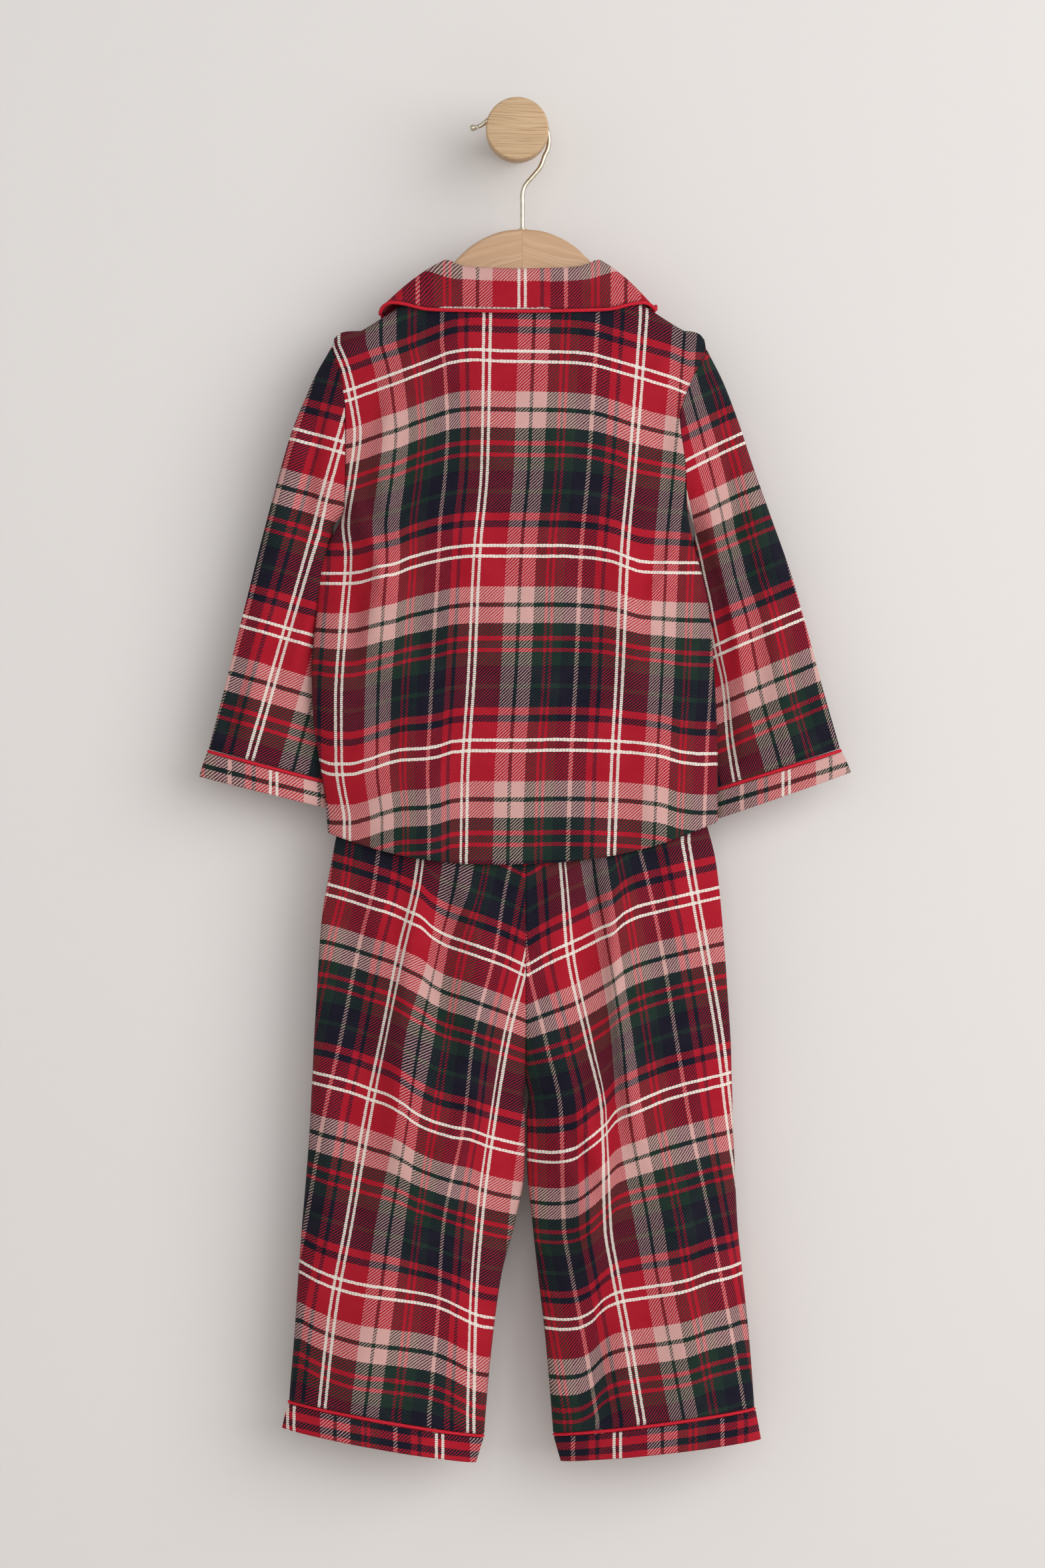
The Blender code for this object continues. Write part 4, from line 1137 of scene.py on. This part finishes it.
def legSkin(side, front, across=72, down=178):
    shape = legShapes[side]
    share = (1 - np.cos(math.pi * np.linspace(0, 1, across))) / 2
    share = (0.35 * share + 0.65 * np.linspace(0, 1, across))[:, None]
    t = np.linspace(0, 1, down)[None, :]
    top = waistZ - waistTall - seam
    end = shape["end"][0] + (shape["end"][1] - shape["end"][0]) * share
    z = top + (end - top) * t
    outer, inner = (smooth(legRows, z, shape[edge]) for edge in ("outer", "inner"))
    x = outer + (inner + side * 0.1 - outer) * share
    u, v = legCheck(x, z, shape)
    if front:
        u = 2 * legCheck(outer, z, shape)[0] - u
    fade = (4 * share * (1 - share)) ** 0.35 * ease((-500 - z) / 26) * ease((1 - t) / 0.03)
    lift = foldLift(x, z, shape["folds"]) * (0.7 if front else 1.0) + drape(x, z, 50 + side + 9 * front)
    # small gathers below the elastic waist
    gathers = 0.9 * np.sin(x / 3.1 + 2.2 * np.sin(x / 17.0)) * ease((z + 545) / 60)
    depth = np.maximum(trouserDepth(x, z, share) + fade * (lift + gathers), 0.3)
    points = np.stack([x, hang["y"] + waistShift(z) + (depth if front else -depth), z], -1)
    return points, np.stack([u, v], -1)


def waistSkin(around=180, down=13):
    turns = np.linspace(0, 2 * math.pi, around + 1)[:-1, None]
    s, back = (1 - np.cos(turns)) / 2, turns < math.pi
    t = np.linspace(0, 1, down)[None, :]
    z = waistZ - waistTall * t
    left, right = smooth(legRows, z, 1), smooth(legRows, z, 4)
    pleats = 0.75 * np.sin(turns * 34 + 2 * np.sin(turns * 5)) - 0.8
    casing = 0.35 * np.sin(4 * math.pi * t) ** 2
    bow = 4 * s * (1 - s)
    depth = np.maximum(smooth(hipDepthRows, z) * bow ** 0.7 + (pleats + casing) * bow ** 0.4, 0)
    y = hang["y"] + waistShift(z) + np.where(back, -depth, depth)
    points = np.stack(np.broadcast_arrays(left + (right - left) * s, y, z), -1)
    uv = np.stack(np.broadcast_arrays(points[..., 0] * 1.6, -z - 529.8), -1)
    return points, np.concatenate([uv, uv[:1]])


def makeTrousers():
    waist, waistUv = waistSkin()
    band = clothGrid("bottoms_waist", waist, waistUv, thickness=1.8, ring=True)
    for side, word in ((-1, "left"), (1, "right")):
        shape = legShapes[side]
        outerZ, innerZ = shape["end"]
        outerX = float(smooth(legRows, outerZ, shape["outer"]))
        innerX = float(smooth(legRows, innerZ, shape["inner"])) + side * 0.1
        end = (outerX, outerZ, innerX, innerZ, 0, 0, float(smooth(legDepthRows, -905)))
        points, uv, cord, stitch, out = bandSkin(
            end, shape["cuff"], shape["cuffX"], 110.4, down=14, puff=0.6
        )
        pipe = cordMesh(f"leg_{word}_trim", cord, pipeRadius, finishes["piping"])
        row = stitchRow(f"leg_{word}_stitches", stitch, out)
        declare(pipe, [f"leg_{word}_piping"])
        for front, face in ((False, "back"), (True, "front")):
            panel, panelUv = legSkin(side, front)
            piece = clothGrid(f"bottoms_{word}_{face}", panel, panelUv)
            declare(piece, [f"leg_{word}_{face}"])
        cuff = clothGrid(f"leg_{word}_band", points, uv, thickness=2.0, ring=True)
        declare(cuff, [f"leg_{word}_cuff"])
    declare(band, ["waistband"])


# ---------- hanger, hook, peg and buttons ----------

def finePath(points, step=0.7):
    # smooth curve through points
    p = np.asarray(points, float)
    p = np.concatenate([[2 * p[0] - p[1]], p, [2 * p[-1] - p[-2]]])
    out = []
    for a, b, c, d in zip(p, p[1:], p[2:], p[3:]):
        count = max(2, int(np.linalg.norm(c - b) / step))
        t = (np.arange(count) / count)[:, None]
        out.append(0.5 * (
            2 * b + (c - a) * t + (2 * a - 5 * b + 4 * c - d) * t ** 2 + (3 * b - a - 3 * c + d) * t ** 3
        ))
    out.append(p[-2][None])
    return np.concatenate(out)


def makeHook():
    cx, cz, radius, wireRadius = 1.4, -5.0, 21.0, 1.65
    stem = [(hang["boardX"], z) for z in (-67.4, -58, -50, -43)]
    bend = [(5.5, -37), (10.5, -31), (16.2, -24)]
    turns = np.radians(np.arange(-32, 99, 10))
    arc = [(cx + radius * math.cos(a), cz + radius * math.sin(a)) for a in turns]
    flare = [(-9.5, 14.6), (-15, 12.9), (-20, 10), (-24.2, 6.4), (-27.8, 4.5)]
    path = finePath([(x, hang["y"], z) for x, z in stem + bend + arc + flare])
    wire = cordMesh("wire_hook", path, wireRadius, finishes["nickel"], sides=24, closed=False)
    declare(wire, ["hanger_hook"])
    ball = (
        (-2.6, 0.9), (-2.45, 1.6), (-1.9, 2.15), (-0.9, 2.35), (0.2, 2.3), (1.1, 1.95), (1.9, 1.7),
        (2.6, 1.66),
    )
    knob = turned("wire_hook_end", (0, 0, 0), ball, finishes["nickel"], sides=32)
    knob.data.transform(turnedTo((-30.7, hang["y"], 3.95), (1, 0, 0.15)))
    declare(knob, ["hook_tip"])
    # small collar where the stem enters the board
    rim = ((-0.4, 2.3), (0.0, 2.9), (0.5, 2.9), (0.9, 2.3), (0.95, 1.7))
    seat = turned("wire_hook_seat", (0, 0, 0), rim, finishes["nickel"], sides=32)
    seat.data.transform(turnedTo((hang["boardX"], hang["y"], -68.0), (0, 0, 1)))
    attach(seat, "root")


def turnedTo(place, way):
    turn = Vector((0, 1, 0)).rotation_difference(Vector(way)).to_matrix().to_4x4()
    return Matrix.Translation(Vector(place) * mm) @ turn


def makeBoard():
    inward = np.linspace(114, 0, 96)
    outwards = inward[::-1]
    # rounded end of each arm
    end = (
        (115.6, -143.6), (116.8, -145.2), (117.6, -147.4), (118, -150.4), (117.9, -154),
        (117.2, -157.4), (116, -159.6),
    )
    half = [
        *zip(outwards, smooth(boardRows, outwards)), *end, *zip(inward, smooth(boardRows, inward, 2)),
    ]
    outline = half + [(-x, z) for x, z in reversed(half[1:-1])]
    thick = hang["boardThickness"]
    nearY = hang["y"] - thick / 2
    build = bmesh.new()
    near = [build.verts.new(((x + hang["boardX"]) * mm, nearY * mm, z * mm)) for x, z in outline]
    grown = bmesh.ops.extrude_face_region(build, geom=[build.faces.new(near)])
    moved = [v for v in grown["geom"] if isinstance(v, bmesh.types.BMVert)]
    bmesh.ops.translate(build, verts=moved, vec=(0, thick * mm, 0))
    bmesh.ops.recalc_face_normals(build, faces=build.faces)
    rims = [e for e in build.edges if abs(e.verts[0].co.y - e.verts[1].co.y) < 1e-6]
    bmesh.ops.bevel(
        build, geom=rims, offset=3.0 * mm, segments=6, profile=0.5, affect="EDGES", clamp_overlap=True
    )
    mesh = bpy.data.meshes.new("wooden_board")
    build.to_mesh(mesh)
    build.free()
    board = keep("wooden_board", mesh, finishes["beech"])
    mesh.set_sharp_from_angle(angle=math.radians(50))
    declare(board, ["hanger_board"])


def makePeg():
    knob, shaft, edge = 22.0, 13.8, 1.6
    near, far = np.linspace(0, math.pi / 2, 8), np.linspace(0, math.pi / 2, 6)
    profile = [(-64.0 + edge * (1 - math.cos(a)), knob - edge * (1 - math.sin(a))) for a in near]
    profile += [(-47.6 + edge * math.sin(a), knob - edge * (1 - math.cos(a))) for a in far]
    profile += [(-46.0, 15.4), (-45.6, 14.4), (-44.6, shaft), (-20, shaft), (0, shaft)]
    peg = turned("turned_peg", (0, 0, 0), profile, finishes["pale wood"], sides=128)
    declare(peg, ["wall_peg"])


def makeButtons():
    cutters = []
    rows = ((0.0, 4.9), (0.5, 5.4), (1.0, 5.5), (1.6, 5.3), (2.0, 4.8), (1.9, 4.3), (1.35, 3.8), (1.2, 0.05))
    stitch = ((-1.15, 0.5), (-1.1, 1.35), (-0.6, 1.6), (0, 1.66), (0.6, 1.6), (1.1, 1.35), (1.15, 0.5))
    x, offset = hang["boardX"], 1.15
    for number, z in enumerate((-190, -260, -330, -400), 1):
        y = hang["y"] + float(topDepth(np.array([x]), np.array([float(z)]), True)[0]) + 3.25
        disc = turned(f"jacket_button_{number}", (x, y, z), rows, finishes["button"], sides=64)
        for dx, dz in ((-1, -1), (1, -1), (-1, 1), (1, 1)):
            centre = (x + offset * dx, y, z + offset * dz)
            hole = turned("hole", centre, ((-1.0, 0.5), (3.0, 0.5)), finishes["button"], sides=12)
            cutters.append(hole)
            cut = disc.modifiers.new("hole", "BOOLEAN")
            cut.object = hole
            cut.operation = "DIFFERENCE"
            cut.solver = "EXACT"
        graph = bpy.context.evaluated_depsgraph_get()
        pierced = bpy.data.meshes.new_from_object(disc.evaluated_get(graph))
        disc.modifiers.clear()
        disc.data = pierced
        pierced.set_sharp_from_angle(angle=sharpAngle)
        declare(disc, [f"button_{number}"])
        for k in (-1, 1):
            path = [(x + offset * k, y + out, z + up) for up, out in stitch]
            tie = cordMesh(f"tie_{number}_{k}", path, 0.28, finishes["dark thread"], sides=8, closed=False)
            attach(tie, "root")
    for hole in cutters:
        bpy.data.objects.remove(hole)


# ---------- room, light and camera ----------

def plane(name, corners, material):
    made = keep(name, newMesh(name, corners, [(0, 1, 2, 3)]), material)


def lamp(name, place, aim, size, power, colour):
    light = bpy.data.lights.new(name, "AREA")
    light.shape = "RECTANGLE"
    light.size, light.size_y = size
    light.energy = power
    light.color = colour
    made = bpy.data.objects.new(name, light)
    bpy.context.scene.collection.objects.link(made)
    made.location = place
    made.rotation_euler = (Vector(aim) - Vector(place)).to_track_quat("-Z", "Y").to_euler()


def makeRoom():
    wall = plasterMaterial("painted wall", (229, 226, 224))
    wide, near, low, high, back = 4000, -5000, -1900, 2400, 2
    foot = [(-wide, back, low), (wide, back, low)]
    plane("room_wall", foot + [(wide, back, high), (-wide, back, high)], wall)
    floor = plasterMaterial("pale floor", (226, 220, 214))
    plane("room_floor", [(-wide, near, low), (wide, near, low)] + foot[::-1], floor)
    lamp("key", (2.3, -2.3, 0.35), (0.1, 0, -0.4), (2.6, 2.8), 66, (1.0, 0.99, 0.985))
    lamp("fill", (-2.3, -2.5, 0.1), (-0.1, 0, -0.4), (2.6, 2.8), 10, (0.98, 0.99, 1.0))
    lamp("front", (0.2, -3.1, 0.1), (0, 0, -0.45), (2.0, 2.0), 22, (1.0, 0.995, 0.99))
    world = bpy.data.worlds.new("room air")
    world.use_nodes = True
    world.node_tree.nodes["Background"].inputs[0].default_value = (1.0, 0.99, 0.985, 1)
    world.node_tree.nodes["Background"].inputs[1].default_value = 0.33
    bpy.context.scene.world = world
    bpy.context.scene.view_settings.view_transform = "Standard"
    camera = bpy.data.cameras.new("camera")
    camera.sensor_fit = "VERTICAL"
    camera.sensor_height = 36
    camera.lens = 88
    made = bpy.data.objects.new("camera", camera)
    bpy.context.scene.collection.objects.link(made)
    made.location = (0.0037, -0.055 - 1.1007 * camera.lens / 36, -0.459)
    made.rotation_euler = (math.pi / 2, 0, 0)
    bpy.context.scene.camera = made


makeRoom()
makePeg()
makeHook()
makeBoard()
print("hanger and peg made")
makeBody()
print("body made")
makeButtons()
makeSleeves()
makeCollar()
print("sleeves and collar made")
makeTrousers()
print("trousers made")
